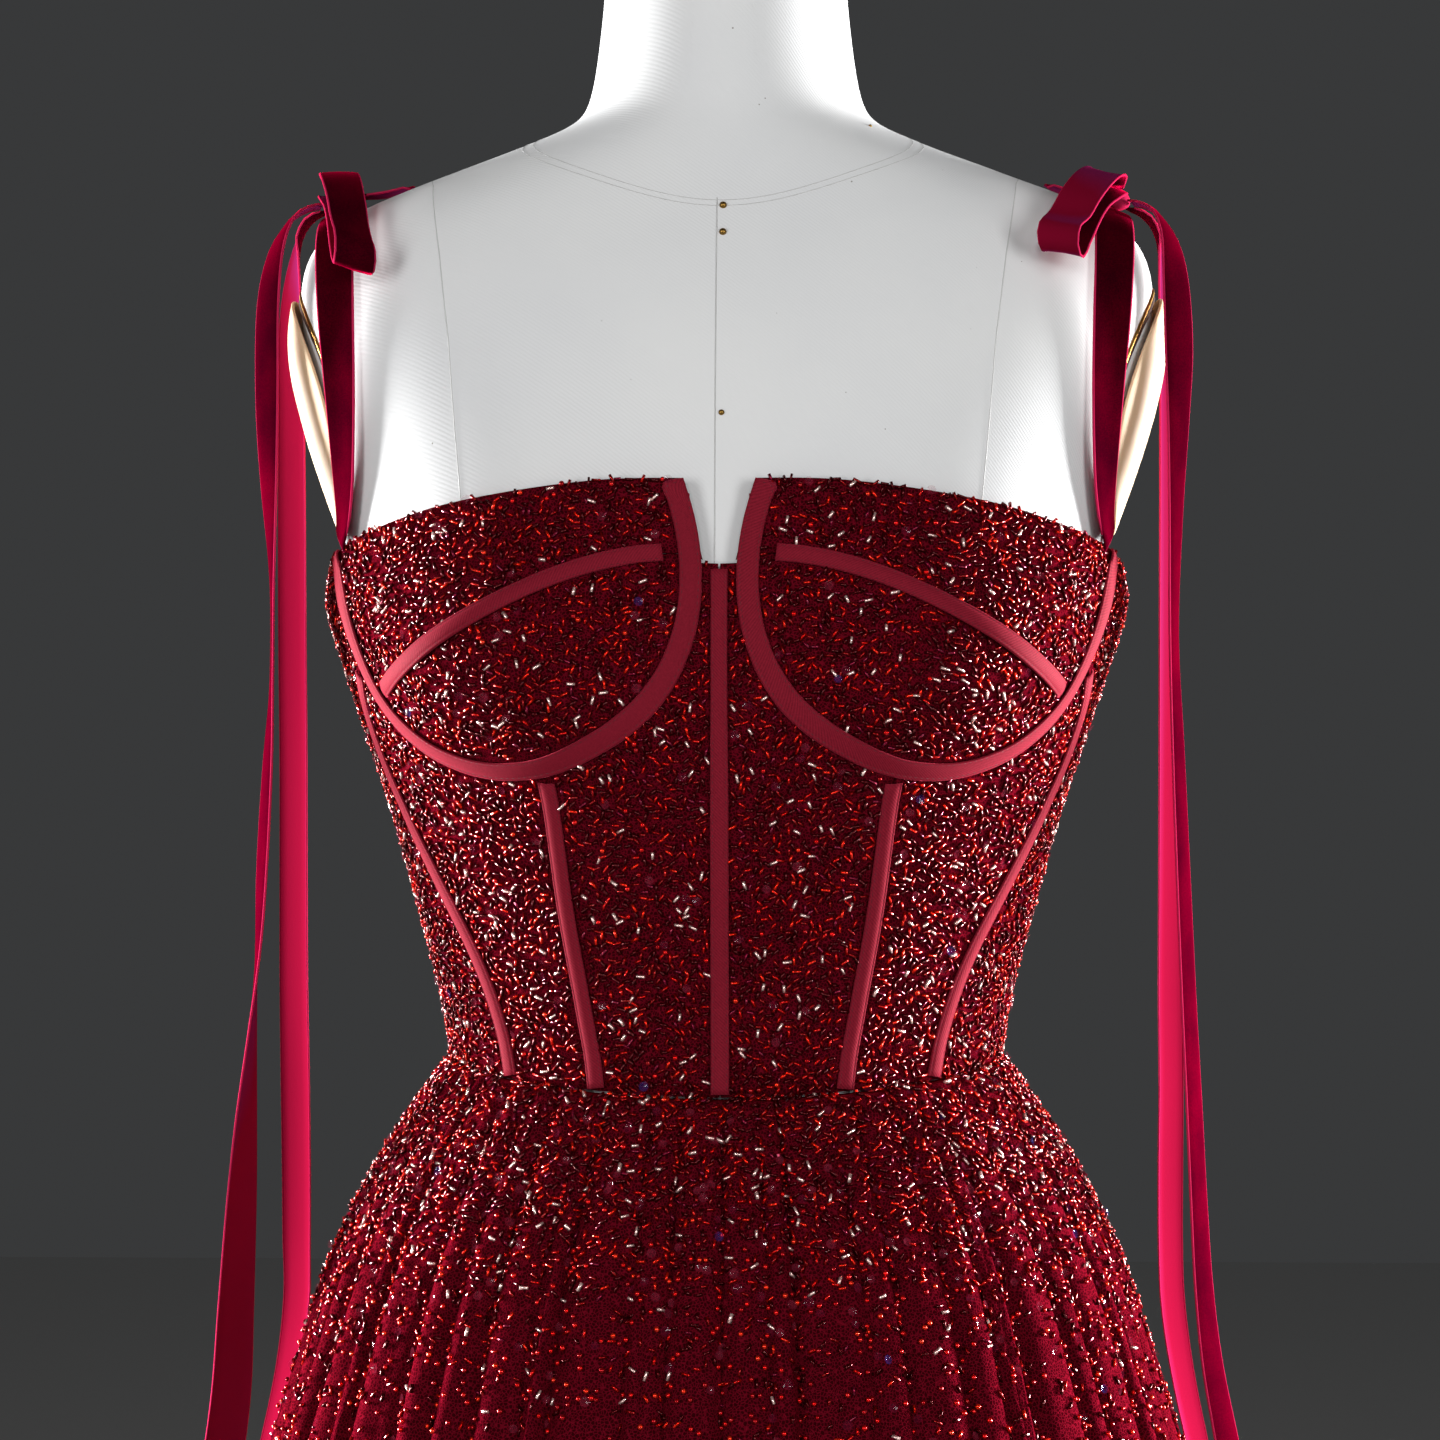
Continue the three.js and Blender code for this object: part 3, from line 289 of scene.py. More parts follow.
for drop, word in NECK_ROWS:
    neck_ring = []
    for step in range(NECK_POINTS):
        turn = math.tau * step / NECK_POINTS
        height = 1.41 - 0.0235 * math.cos(turn) - 0.0135 * math.cos(turn) ** 2 - drop
        outward = Vector((math.sin(turn), -math.cos(turn), 0))
        neck_ring.append(body_skin.ray_cast(Vector((0, 0, height)) + outward * 0.5, -outward)[0])
    finished("form_seam_neck_" + word, tube(neck_ring, NECK_SEAM_RADIUS, True), [seam_thread_shaded])

# Small domed pins of old brass down the centre front.
brass = new_material("brass, old")
brass_place = add_node(brass, "ShaderNodeTexCoord").outputs["Object"]
brass_marks = add_node(
    brass, "ShaderNodeTexNoise", {"Scale": 1500.0, "Detail": 2.0}, {"Vector": brass_place}
).outputs["Fac"]
brass_rough = add_node(brass, "ShaderNodeMapRange", {3: 0.2, 4: 0.5}, {0: brass_marks}).outputs[0]
brass_shader = add_node(
    brass, "ShaderNodeBsdfPrincipled", {"Base Color": linear(BRASS_COLOUR), "Metallic": 1.0},
    {"Roughness": brass_rough},
)
add_node(brass, "ShaderNodeOutputMaterial", {}, {"Surface": brass_shader.outputs[0]})
pins = bmesh.new()
for (x, z), radius in zip(PINS, PIN_SIZE):
    head = bmesh.ops.create_uvsphere(pins, u_segments=PIN_SIDES, v_segments=12, radius=radius)
    bmesh.ops.translate(pins, verts=head["verts"], vec=on_body(x, z, -1))
finished("form_pins", pins, [brass])

# Stand
# A satin steel pole in a heavy round base of cast iron, painted black, both
# turned on a lathe. The skirt hides them.
POLE_EDGE = 0.0015
TURNED_SIDES = 64
STEEL_COLOUR = "#b9bbbd"
IRON_COLOUR = "#26272a"
BRUSH_PITCH = 0.0012
BASE_STEPS = ((1.0, 0.0), (1.0, 0.34), (0.95, 0.5), (0.35, 0.68), (0.16, 0.93), (0.14, 1.0))


def turned(steps, edge):
    """A solid turned about the pole's axis, from the radius and height of its steps, with rounded edges."""
    solid = bmesh.new()
    outline = [solid.verts.new((radius, 0, height)) for radius, height in steps]
    lines = [solid.edges.new(pair) for pair in zip(outline, outline[1:])]
    bmesh.ops.spin(
        solid, geom=outline + lines, cent=(0, 0, 0), axis=(0, 0, 1), dvec=(0, 0, 0),
        angle=math.tau, steps=TURNED_SIDES, use_merge=True, use_duplicate=False,
    )
    bmesh.ops.remove_doubles(solid, verts=solid.verts, dist=SAME_PLACE)
    bmesh.ops.recalc_face_normals(solid, faces=solid.faces)
    sharp = [e for e in solid.edges if e.calc_face_angle(0) > RIM_TURN]
    bmesh.ops.bevel(
        solid, geom=sharp, offset=edge, offset_type="OFFSET", segments=3, profile=0.5,
        affect="EDGES", material=-1,
    )
    return solid


pole_low, pole_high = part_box("stand_pole")
pole_steps = ((0, pole_low.z), (pole_high.x, pole_low.z), (pole_high.x, pole_high.z), (0, pole_high.z))
# Brushed steel: grey and half glossy, with fine lines that run round the pole.
steel = new_material("steel, brushed round")
steel_place = add_node(steel, "ShaderNodeTexCoord").outputs["Object"]
steel_stretch = add_node(
    steel, "ShaderNodeMapping", {"Scale": (0.05 / BRUSH_PITCH, 0.05 / BRUSH_PITCH, 1 / BRUSH_PITCH)},
    {"Vector": steel_place},
)
steel_lines = add_node(
    steel, "ShaderNodeTexNoise", {"Scale": 1.0, "Detail": 3.0}, {"Vector": steel_stretch.outputs[0]}
).outputs["Fac"]
steel_rough = add_node(steel, "ShaderNodeMapRange", {3: 0.24, 4: 0.4}, {0: steel_lines}).outputs[0]
steel_shader = add_node(
    steel, "ShaderNodeBsdfPrincipled", {"Base Color": linear(STEEL_COLOUR), "Metallic": 1.0},
    {"Roughness": steel_rough},
)
add_node(steel, "ShaderNodeOutputMaterial", {}, {"Surface": steel_shader.outputs[0]})
finished("stand_pole_tube", turned(pole_steps, POLE_EDGE), [steel], ["stand_pole"])

base_low, base_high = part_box("stand_base")
base_outline = [(r * base_high.x, h * base_high.z) for r, h in BASE_STEPS]
base_steps = [(0, base_low.z)] + base_outline + [(0, base_high.z)]
# Cast iron under black paint: half matt, with a low uneven grain.
iron = new_material("cast iron, painted")
iron_place = add_node(iron, "ShaderNodeTexCoord").outputs["Object"]
iron_grain = add_node(
    iron, "ShaderNodeTexNoise", {"Scale": 900.0, "Detail": 3.0}, {"Vector": iron_place}
).outputs["Fac"]
iron_bump = add_node(
    iron, "ShaderNodeBump", {"Strength": 0.4, "Distance": 0.0004}, {"Height": iron_grain}
).outputs["Normal"]
iron_shader = add_node(
    iron, "ShaderNodeBsdfPrincipled", {"Base Color": linear(IRON_COLOUR), "Roughness": 0.45},
    {"Normal": iron_bump},
)
add_node(iron, "ShaderNodeOutputMaterial", {}, {"Surface": iron_shader.outputs[0]})
finished("stand_base_casting", turned(base_steps, POLE_EDGE), [iron], ["stand_base"])

# Neck cap
# A low turned cap that closes the neck, covered in the form's own twill.
CAP_STEPS = ((0.975, 0.0), (1.0, 0.17), (0.85, 0.58), (0.48, 0.9), (0.2, 0.99))

cap_low, cap_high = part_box("form_neck_cap")
cap_rise = cap_high.z - cap_low.z
cap_outline = [(r * cap_high.x, cap_low.z + h * cap_rise) for r, h in CAP_STEPS]
cap_steps = [(0, cap_low.z)] + cap_outline + [(0, cap_high.z)]
finished("form_neck_cap_cloth", turned(cap_steps, POLE_EDGE / 2), [linen], ["form_neck_cap"])

# Armhole plates
# Oval plates of cream painted wood that close the form's armholes, with a thin
# gilt ring round each where the cloth ends.
CREAM_COLOUR = "#d2b592"
GILT_COLOUR = "#b88a45"
PLATE_MIDDLE = (0.004, 1.298)
RING_REACH = (0.0405, 0.0495)
RING_RADIUS = 0.0009
RING_POINTS = 96
PLATE_CREASE = 0.8
# Painted shadow: the dark brown of the gap between each plate and its gilt ring.
GAP_SHADOW_COLOUR = "#3a1d10"
GAP_INSET = 0.055
GAP_RADIUS = 0.0013

# Painted wood: smooth cream paint with a low gloss.
cream = new_material("wood, cream paint")
cream_place = add_node(cream, "ShaderNodeTexCoord").outputs["Object"]
cream_marks = add_node(
    cream, "ShaderNodeTexNoise", {"Scale": 60.0, "Detail": 4.0}, {"Vector": cream_place}
).outputs["Fac"]
cream_rough = add_node(cream, "ShaderNodeMapRange", {3: 0.5, 4: 0.62}, {0: cream_marks}).outputs[0]
cream_shader = add_node(
    cream, "ShaderNodeBsdfPrincipled", {"Base Color": linear(CREAM_COLOUR), "Specular IOR Level": 0.25},
    {"Roughness": cream_rough},
)
add_node(cream, "ShaderNodeOutputMaterial", {}, {"Surface": cream_shader.outputs[0]})
# Gilt brass: a soft golden gleam, dulled by wear.
gilt = new_material("brass, gilt and worn")
gilt_place = add_node(gilt, "ShaderNodeTexCoord").outputs["Object"]
gilt_marks = add_node(
    gilt, "ShaderNodeTexNoise", {"Scale": 400.0, "Detail": 2.0}, {"Vector": gilt_place}
).outputs["Fac"]
gilt_rough = add_node(gilt, "ShaderNodeMapRange", {3: 0.25, 4: 0.45}, {0: gilt_marks}).outputs[0]
gilt_shader = add_node(
    gilt, "ShaderNodeBsdfPrincipled", {"Base Color": linear(GILT_COLOUR), "Metallic": 1.0},
    {"Roughness": gilt_rough},
)
add_node(gilt, "ShaderNodeOutputMaterial", {}, {"Surface": gilt_shader.outputs[0]})

# Painted shadow: a matt dark brown ring with a fine grainy bump, put in the gap between plate and gilt ring
# where there is only shade.
gap_shadow = new_material("felt, dark brown")
gap_shadow_place = add_node(gap_shadow, "ShaderNodeTexCoord").outputs["Object"]
gap_shadow_grain = add_node(
    gap_shadow, "ShaderNodeTexNoise", {"Scale": 1200.0, "Detail": 3.0}, {"Vector": gap_shadow_place}
).outputs["Fac"]
gap_shadow_bump = add_node(
    gap_shadow, "ShaderNodeBump", {"Strength": 0.5, "Distance": 0.0003}, {"Height": gap_shadow_grain}
).outputs["Normal"]
gap_shadow_shader = add_node(
    gap_shadow, "ShaderNodeBsdfPrincipled", {"Base Color": linear(GAP_SHADOW_COLOUR), "Roughness": 0.95},
    {"Normal": gap_shadow_bump},
)
add_node(gap_shadow, "ShaderNodeOutputMaterial", {}, {"Surface": gap_shadow_shader.outputs[0]})

for side, word in ((1, "left"), (-1, "right")):
    plate = merged_copy("form_arm_plate_" + word)
    rim = plate.edges.layers.float.new("crease_edge")
    for edge in plate.edges:
        if edge.calc_face_angle(0) > RIM_TURN:
            edge[rim] = PLATE_CREASE
    plate_piece = finished("arm_plate_" + word, plate, [cream], ["form_arm_plate_" + word])
    rounded(plate_piece, 2)
    ring = []
    for step in range(RING_POINTS):
        turn = math.tau * step / RING_POINTS
        start = Vector((
            side * 0.5,
            PLATE_MIDDLE[0] + RING_REACH[0] * math.cos(turn),
            PLATE_MIDDLE[1] + RING_REACH[1] * math.sin(turn),
        ))
        ring.append(body_skin.ray_cast(start, Vector((-side, 0, 0)))[0])
    finished("arm_ring_" + word, tube(ring, RING_RADIUS, True), [gilt])
    centre = Vector((ring[0].x, *PLATE_MIDDLE))
    gap = [point + (centre - point) * Vector((0, GAP_INSET, GAP_INSET)) for point in ring]
    # A dark tube just inside each gilt ring, as painted shadow in the gap.
    finished("arm_gap_" + word, tube(gap, GAP_RADIUS, True), [gap_shadow])

# Boning tapes
# Woven rose-red tape laid over each seam of the bodice, with a wire or bone
# inside and a row of stitching along both edges.
RIM_FOLD = math.radians(65)
RIM_LENGTH = 0.0016
NEAR_FACES = 8
TAPE_COLOUR = "#641220"
TAPE_LIGHT = "#841c2c"
THREAD_COLOUR = "#3c0612"
TAPE_SHEEN = "#f05068"
TWILL_RIB = 0.0009
WAVE_IN_PLANE = 0.2 * math.pi / math.sqrt(2)
TAPE_WALL = 0.0008
TAPE_STEP = 0.0024
TAPE_SECTION = (
    {"across": 0.0, "rise": -0.0011},
    {"across": 0.035, "rise": -0.0005},
    {"across": 0.09, "rise": -0.00022},
    {"across": 0.14, "rise": -0.0004},
    {"across": 0.19, "rise": -0.00015},
    {"across": 0.33, "rise": 0.00005},
    {"across": 0.5, "rise": 0.00014},
)
TAPES = (
    {"name": "tape_centre_front", "width": 0.0065, "near": (0, -0.1, 1.0), "sides": (1,)},
    {"name": "tape_cup_wire", "width": 0.008, "near": (0.012, -0.12, 1.4), "sides": (1, -1)},
    {"name": "tape_cup_seam", "width": 0.0065, "near": (-0.02, -0.12, 1.238), "sides": (1, -1)},
    {"name": "tape_princess", "width": 0.0065, "near": (0.046, -0.085, 1.0), "sides": (1, -1)},
    {"name": "tape_side_front", "width": 0.0065, "near": (0.078, -0.068, 1.0), "sides": (1, -1)},
)


def long_edges(node, near, facing=None):
    """The two long edges of one face of a CAD strip, from the end that lies near a point. The face looks
    along facing, or away from the pole's axis."""
    solid = bmesh.new()
    solid.from_mesh(frame["nodes"][node].data)
    bmesh.ops.remove_doubles(solid, verts=solid.verts, dist=SAME_PLACE)
    solid.normal_update()

    def away(edge, point):
        return ((edge.verts[0].co + edge.verts[1].co) / 2 - point).length

    def folded(edge):
        """Whether a broad face ends at this edge, against the strip's thin rim."""
        shortest = min(e.calc_length() for f in edge.link_faces for e in f.edges)
        return shortest < RIM_LENGTH and edge.calc_face_angle(0) > RIM_FOLD

    start = min((e for e in solid.edges if folded(e)), key=lambda e: away(e, Vector(near)))
    middle = (start.verts[0].co + start.verts[1].co) / 2
    outward = Vector(facing) if facing else Vector((middle.x, middle.y, 0))
    nearest = sorted(solid.faces, key=lambda f: (f.calc_center_median() - middle).length)[:NEAR_FACES]
    island, waiting = set(), [max(nearest, key=lambda f: f.normal.dot(outward))]
    while waiting:
        face = waiting.pop()
        if face not in island:
            island.add(face)
            waiting += [g for e in face.edges if not folded(e) for g in e.link_faces]
    rim = {e for f in island for e in f.edges if folded(e)}
    beside = {}
    for edge in rim:
        for vertex in edge.verts:
            beside.setdefault(vertex, []).append(edge.other_vert(vertex))
    end = min(rim, key=lambda e: away(e, middle))
    sides = []
    for here, before in (tuple(end.verts), tuple(end.verts)[::-1]):
        side = [here]
        while len(side) < len(beside) // 2:
            here, before = next(v for v in beside[here] if v is not before), here
            side.append(here)
        sides.append(np.array([v.co for v in side]))
    across = Vector(sides[1][0] - sides[0][0])
    along = Vector(sides[0][1] - sides[0][0])
    if across.cross(along).dot(next(f for f in island if end in f.edges).normal) < 0:
        sides.reverse()
    solid.free()
    return sides


def thicken(piece, thickness):
    """Gives a sheet its wall, inwards from its face."""
    wall = piece.modifiers.new("cloth", "SOLIDIFY")
    wall.thickness = thickness
    wall.offset = -1
    return wall


def distances(points):
    """How far along a line each of its points lies."""
    return np.concatenate([[0], np.cumsum(np.linalg.norm(np.diff(points, axis=0), axis=1))])


def unit(rows):
    """Vectors in rows, each made one long."""
    return rows / np.linalg.norm(rows, axis=1)[:, None]


def along_curve(points, places):
    """Points on a smooth curve through some points, at places that count from 0 at the first."""
    padded = np.vstack([2 * points[0] - points[1], points, 2 * points[-1] - points[-2]])
    low = np.minimum(places.astype(int), len(points) - 2)
    s = (places - low)[:, None]
    a, b, c, d = padded[low], padded[low + 1], padded[low + 2], padded[low + 3]
    return 0.5 * (2 * b + (c - a) * s + (2 * a - 5 * b + 4 * c - d) * s**2 + (3 * b - a - 3 * c + d) * s**3)


def cloth_grid(points, across, along):
    """A sheet with a vertex at each point of a net, and a UV map of its own widths and lengths in metres."""
    cols = points.shape[1]
    sheet = bmesh.new()
    cut = sheet.loops.layers.uv.new("cut")
    bmesh.ops.create_grid(sheet, x_segments=cols - 1, y_segments=len(points) - 1, size=1)
    sheet.verts.ensure_lookup_table()
    sheet.verts.index_update()
    for vertex, point in zip(sheet.verts, points.reshape(-1, 3)):
        vertex.co = point
    for face in sheet.faces:
        for corner in face.loops:
            row, col = divmod(corner.vert.index, cols)
            corner[cut].uv = (across[col], along[row])
    return sheet


def strip(sides, width, step, section):
    """A ribbon or tape between two long edges, with its section across it."""
    reach = distances((sides[0] + sides[1]) / 2)
    rows = max(4, round(reach[-1] / step))
    places = np.interp(np.linspace(0, reach[-1], rows + 1), reach, np.arange(len(reach)))
    low, high = along_curve(sides[0], places), along_curve(sides[1], places)
    run = np.gradient((low + high) / 2, axis=0)
    face = unit(np.cross(high - low, run))
    half = [(s["across"], s["rise"]) for s in section]
    whole = half + [(1 - u, rise) for u, rise in half[::-1] if u < 0.5]
    net = np.stack([low + (high - low) * u + face * rise for u, rise in whole], axis=1)
    return net, [u * width for u, _ in whole], list(np.linspace(0, reach[-1], rows + 1))


# Tape: matt and slightly furry, with fine ribs that slope across its width.
tape_cloth = new_material("tape, twill woven")
tape_uv = add_node(tape_cloth, "ShaderNodeUVMap", {"uv_map": "cut"}).outputs[0]
tape_ribs = add_node(
    tape_cloth, "ShaderNodeTexWave",
    {"wave_type": "BANDS", "bands_direction": "DIAGONAL", "Scale": WAVE_IN_PLANE / TWILL_RIB,
     "Distortion": 0.8, "Detail": 1.0, "Detail Scale": 2.0},
    {"Vector": tape_uv},
).outputs["Fac"]
tape_place = add_node(tape_cloth, "ShaderNodeTexCoord").outputs["Object"]
tape_fur = add_node(
    tape_cloth, "ShaderNodeTexNoise", {"Scale": 1500.0, "Detail": 2.0}, {"Vector": tape_place}
).outputs["Fac"]
tape_tone = add_node(
    tape_cloth, "ShaderNodeMath", {"operation": "MULTIPLY_ADD", 1: 0.5}, {0: tape_ribs, 2: tape_fur}
)
tape_mix = add_node(
    tape_cloth, "ShaderNodeMapRange", {1: 0.3, 2: 1.2}, {0: tape_tone.outputs[0]}
).outputs[0]
tape_colour = add_node(
    tape_cloth, "ShaderNodeMix", {"data_type": "RGBA", 6: linear(TAPE_COLOUR), 7: linear(TAPE_LIGHT)},
    {0: tape_mix},
).outputs[2]
tape_bump = add_node(
    tape_cloth, "ShaderNodeBump", {"Strength": 0.4, "Distance": 0.0002}, {"Height": tape_tone.outputs[0]}
).outputs["Normal"]
tape_shader = add_node(
    tape_cloth, "ShaderNodeBsdfPrincipled",
    {"Roughness": 0.7, "Sheen Weight": 0.4, "Sheen Roughness": 0.35, "Sheen Tint": linear(TAPE_SHEEN),
     "Specular IOR Level": 0.02},
    {"Base Color": tape_colour, "Normal": tape_bump},
)
add_node(tape_cloth, "ShaderNodeOutputMaterial", {}, {"Surface": tape_shader.outputs[0]})

tape_lines = []
for tape in TAPES:
    for side in tape["sides"]:
        node = tape["name"] + ("" if len(tape["sides"]) == 1 else "_left" if side > 0 else "_right")
        sides = long_edges(node, Vector(tape["near"]) * Vector((side, 1, 1)))
        net, across, along = strip(sides, tape["width"], TAPE_STEP, TAPE_SECTION)
        tape_lines.append((net, tape["width"]))
        piece = finished("sewn_" + node, cloth_grid(net, across, along), [tape_cloth], [node])
        thicken(piece, TAPE_WALL)

# Stitches that hold the tapes, sunk a little into both edges.
STITCH_COLUMNS = (3, 9)
STITCH = (0.0017, 0.0004)
stitch_shape = np.array([(-0.5, 0, 0), (0.5, 0, 0), (0, -0.5, 0), (0, 0.5, 0), (0, 0, -0.4), (0, 0, 0.4)])
stitch_faces = [(0, 2, 5), (0, 5, 3), (0, 3, 4), (0, 4, 2), (1, 5, 2), (1, 3, 5), (1, 4, 3), (1, 2, 4)]
stitch_points, stitch_sides = [], []
for net, _ in tape_lines:
    for col in STITCH_COLUMNS:
        run = unit(np.gradient(net[:, col], axis=0))
        across = net[:, col + 1] - net[:, col - 1]
        up = unit(np.cross(across, run))
        beside = np.cross(up, run)
        for place, a, b, c in zip(net[1:-1, col], run[1:-1], beside[1:-1], up[1:-1]):
            base = len(stitch_points) * len(stitch_shape)
            x, y, z = stitch_shape[:, :1], stitch_shape[:, 1:2], stitch_shape[:, 2:]
            stitch_points.append(place + x * STITCH[0] * a + y * STITCH[1] * b + z * STITCH[1] * c)
            stitch_sides += [tuple(base + corner for corner in face) for face in stitch_faces]
# Polyester thread: dark, thin and a little glossy.
tape_thread = new_material("thread, polyester")
tape_thread_place = add_node(tape_thread, "ShaderNodeTexCoord").outputs["Object"]
tape_thread_twist = add_node(
    tape_thread, "ShaderNodeTexNoise", {"Scale": 2500.0}, {"Vector": tape_thread_place}
).outputs["Fac"]
tape_thread_rough = add_node(
    tape_thread, "ShaderNodeMapRange", {3: 0.5, 4: 0.8}, {0: tape_thread_twist}
).outputs[0]
tape_thread_shader = add_node(
    tape_thread, "ShaderNodeBsdfPrincipled", {"Base Color": linear(THREAD_COLOUR)},
    {"Roughness": tape_thread_rough},
)
add_node(tape_thread, "ShaderNodeOutputMaterial", {}, {"Surface": tape_thread_shader.outputs[0]})
stitches = bpy.data.meshes.new("tape_stitches")
stitches.from_pydata(np.vstack(stitch_points).tolist(), [], stitch_sides)
finished("tape_stitches", stitches, [tape_thread])

# Bodice panels
# Twelve panels of red net laid over satin, cut between the seams of a boned
# bodice and sewn edge to edge. The beads are sewn through both layers.
PANEL_FACING = 0.5
PANEL_THICK = 0.0014
NET_PITCH = 0.0012
NET_COLOUR = "#600818"
SATIN_COLOUR = "#2c0207"
BEAD_GAP = 0.002
TAPE_MARGIN = 0.0014
BEAD_KINDS = (
    {"kind": "bugle", "long": (0.0024, 0.0034), "wide": (0.001, 0.00125), "tilt": 0.16, "lift": (0, 0.0005),
     "material": 0,
     "tints": (
         # The pale pink tint is a painted glint: these beads stand in for white highlights on the red glass.
         ("#4c0107", 6), ("#840408", 4), ("#bc0c08", 2.5), ("#e42410", 1), ("#740a2a", 1), ("#ffd8d0", 1),
     )},
    {"kind": "seed", "wide": (0.0019, 0.0023), "tilt": 0.2, "lift": (0, 0.0003), "material": 0,
     "tints": (("#a00610", 3), ("#d01010", 3), ("#e83018", 1))},
    {"kind": "sequin", "wide": (0.003, 0.0038), "tilt": 0.2, "lift": (0.0006, 0.0012), "material": 1,
     "tints": (("#a03048", 6), ("#7c1838", 4), ("#2c3890", 0.5))},
)
BODICE_BEADS = 400000
BODICE_SHARES = (0.05, 0.02)
NET_SHEEN = "#f01030"
PANELS = {
    "cup_upper": (0.19, 0.09),
    "cup_lower": (0.17, 0.08),
    "front_centre": (0.06, 0.21),
    "front_side": (0.12, 0.18),
    "side": (0.13, 0.21),
    "back": (0.2, 0.19),
}

# Net over satin: a fine mesh of dark red threads over a nearly black ground.
beaded_net = new_material("net over satin, woven")
net_place = add_node(beaded_net, "ShaderNodeTexCoord").outputs["Object"]
net_cells = add_node(
    beaded_net, "ShaderNodeTexVoronoi", {"feature": "DISTANCE_TO_EDGE", "Scale": 1 / NET_PITCH},
    {"Vector": net_place},
).outputs["Distance"]
net_threads = add_node(
    beaded_net, "ShaderNodeMapRange", {1: 0.02, 2: 0.16, 3: 1.0, 4: 0.0}, {0: net_cells}
).outputs[0]
net_colour = add_node(
    beaded_net, "ShaderNodeMix", {"data_type": "RGBA", 6: linear(SATIN_COLOUR), 7: linear(NET_COLOUR)},
    {0: net_threads},
).outputs[2]
net_bump = add_node(
    beaded_net, "ShaderNodeBump", {"Strength": 0.5, "Distance": 0.0002}, {"Height": net_threads}
).outputs["Normal"]
net_shader = add_node(
    beaded_net, "ShaderNodeBsdfPrincipled",
    {"Roughness": 0.8, "Specular IOR Level": 0.0, "Sheen Weight": 0.08, "Sheen Tint": linear(NET_SHEEN)},
    {"Base Color": net_colour, "Normal": net_bump},
)
add_node(beaded_net, "ShaderNodeOutputMaterial", {}, {"Surface": net_shader.outputs[0]})


# Pressed glass: clear red right through and polished. The pale pink beads are painted glints, white
# highlights put into their colour.
bead_glass = new_material("glass, red pressed")
bead_colour = add_node(bead_glass, "ShaderNodeAttribute", {"attribute_name": "bead_tint_and_glint"}).outputs["Color"]
bead_place = add_node(bead_glass, "ShaderNodeTexCoord").outputs["Object"]
bead_marks = add_node(
    bead_glass, "ShaderNodeTexNoise", {"Scale": 700.0, "Detail": 1.0}, {"Vector": bead_place}
).outputs["Fac"]
bead_rough = add_node(bead_glass, "ShaderNodeMapRange", {3: 0.14, 4: 0.32}, {0: bead_marks}).outputs[0]
bead_shader = add_node(
    bead_glass, "ShaderNodeBsdfPrincipled",
    {"Metallic": 0.75, "Specular IOR Level": 0.1, "Coat Weight": 0.2, "Coat Roughness": 0.06,
     "Coat IOR": 1.6},
    {"Base Color": bead_colour, "Roughness": bead_rough},
)
add_node(bead_glass, "ShaderNodeOutputMaterial", {}, {"Surface": bead_shader.outputs[0]})

# Clear cup sequins: thin polished film, with a tint of their own.
sequin_film = new_material("film, clear polished")
film_colour = add_node(sequin_film, "ShaderNodeAttribute", {"attribute_name": "bead_tint_and_glint"}).outputs["Color"]
film_shader = add_node(
    sequin_film, "ShaderNodeBsdfPrincipled",
    {"Roughness": 0.06, "Alpha": 0.1, "Coat Weight": 1.0, "Coat Roughness": 0.04},
    {"Base Color": film_colour},
)
add_node(sequin_film, "ShaderNodeOutputMaterial", {}, {"Surface": film_shader.outputs[0]})

tape_tree = KDTree(sum(len(net) for net, _ in tape_lines))
for net, width in tape_lines:
    for point in net[:, net.shape[1] // 2]:
        tape_tree.insert(point, round(width * 1e6))
tape_tree.balance()


def bead_ring(sides, radius, height, turn=0.0):
    """Corners in a circle."""
    angles = [math.tau * k / sides + turn for k in range(sides)]
    return [(radius * math.cos(angle), radius * math.sin(angle), height) for angle in angles]


def bead_shapes():
    """The corners and faces of one bead of each kind, one wide, lying on the cloth. A bugle bead's length is
    along its first axis."""
    bugle = [(x, y, z) for x in (-0.5, 0.5) for y, z in ((-0.5, 0), (0.5, 0), (0.27, 0.8), (-0.27, 0.8))]
    bugle_faces = [(0, 1, 5, 4), (1, 2, 6, 5), (2, 3, 7, 6), (3, 0, 4, 7), (0, 3, 2, 1), (4, 5, 6, 7)]
    seed = bead_ring(5, 0.5, 0.2) + bead_ring(5, 0.44, 0.6, 0.6) + [(0, 0, 0), (0, 0, 0.78)]
    seed_faces = []
    for k in range(5):
        after = (k + 1) % 5
        seed_faces += [(k, after, 5 + k), (after, 5 + after, 5 + k), (after, k, 10), (5 + k, 5 + after, 11)]
    cup = bead_ring(8, 0.5, 0.26) + [(0, 0, 0), (0, 0, 0.04)]
    cup_faces = []
    for k in range(8):
        after = (k + 1) % 8
        cup_faces += [(after, k, 8), (k, after, 9)]
    return {
        "bugle": (np.array(bugle), bugle_faces, 4),
        "seed": (np.array(seed), seed_faces, len(seed_faces)),
        "sequin": (np.array(cup), cup_faces, 0),
    }


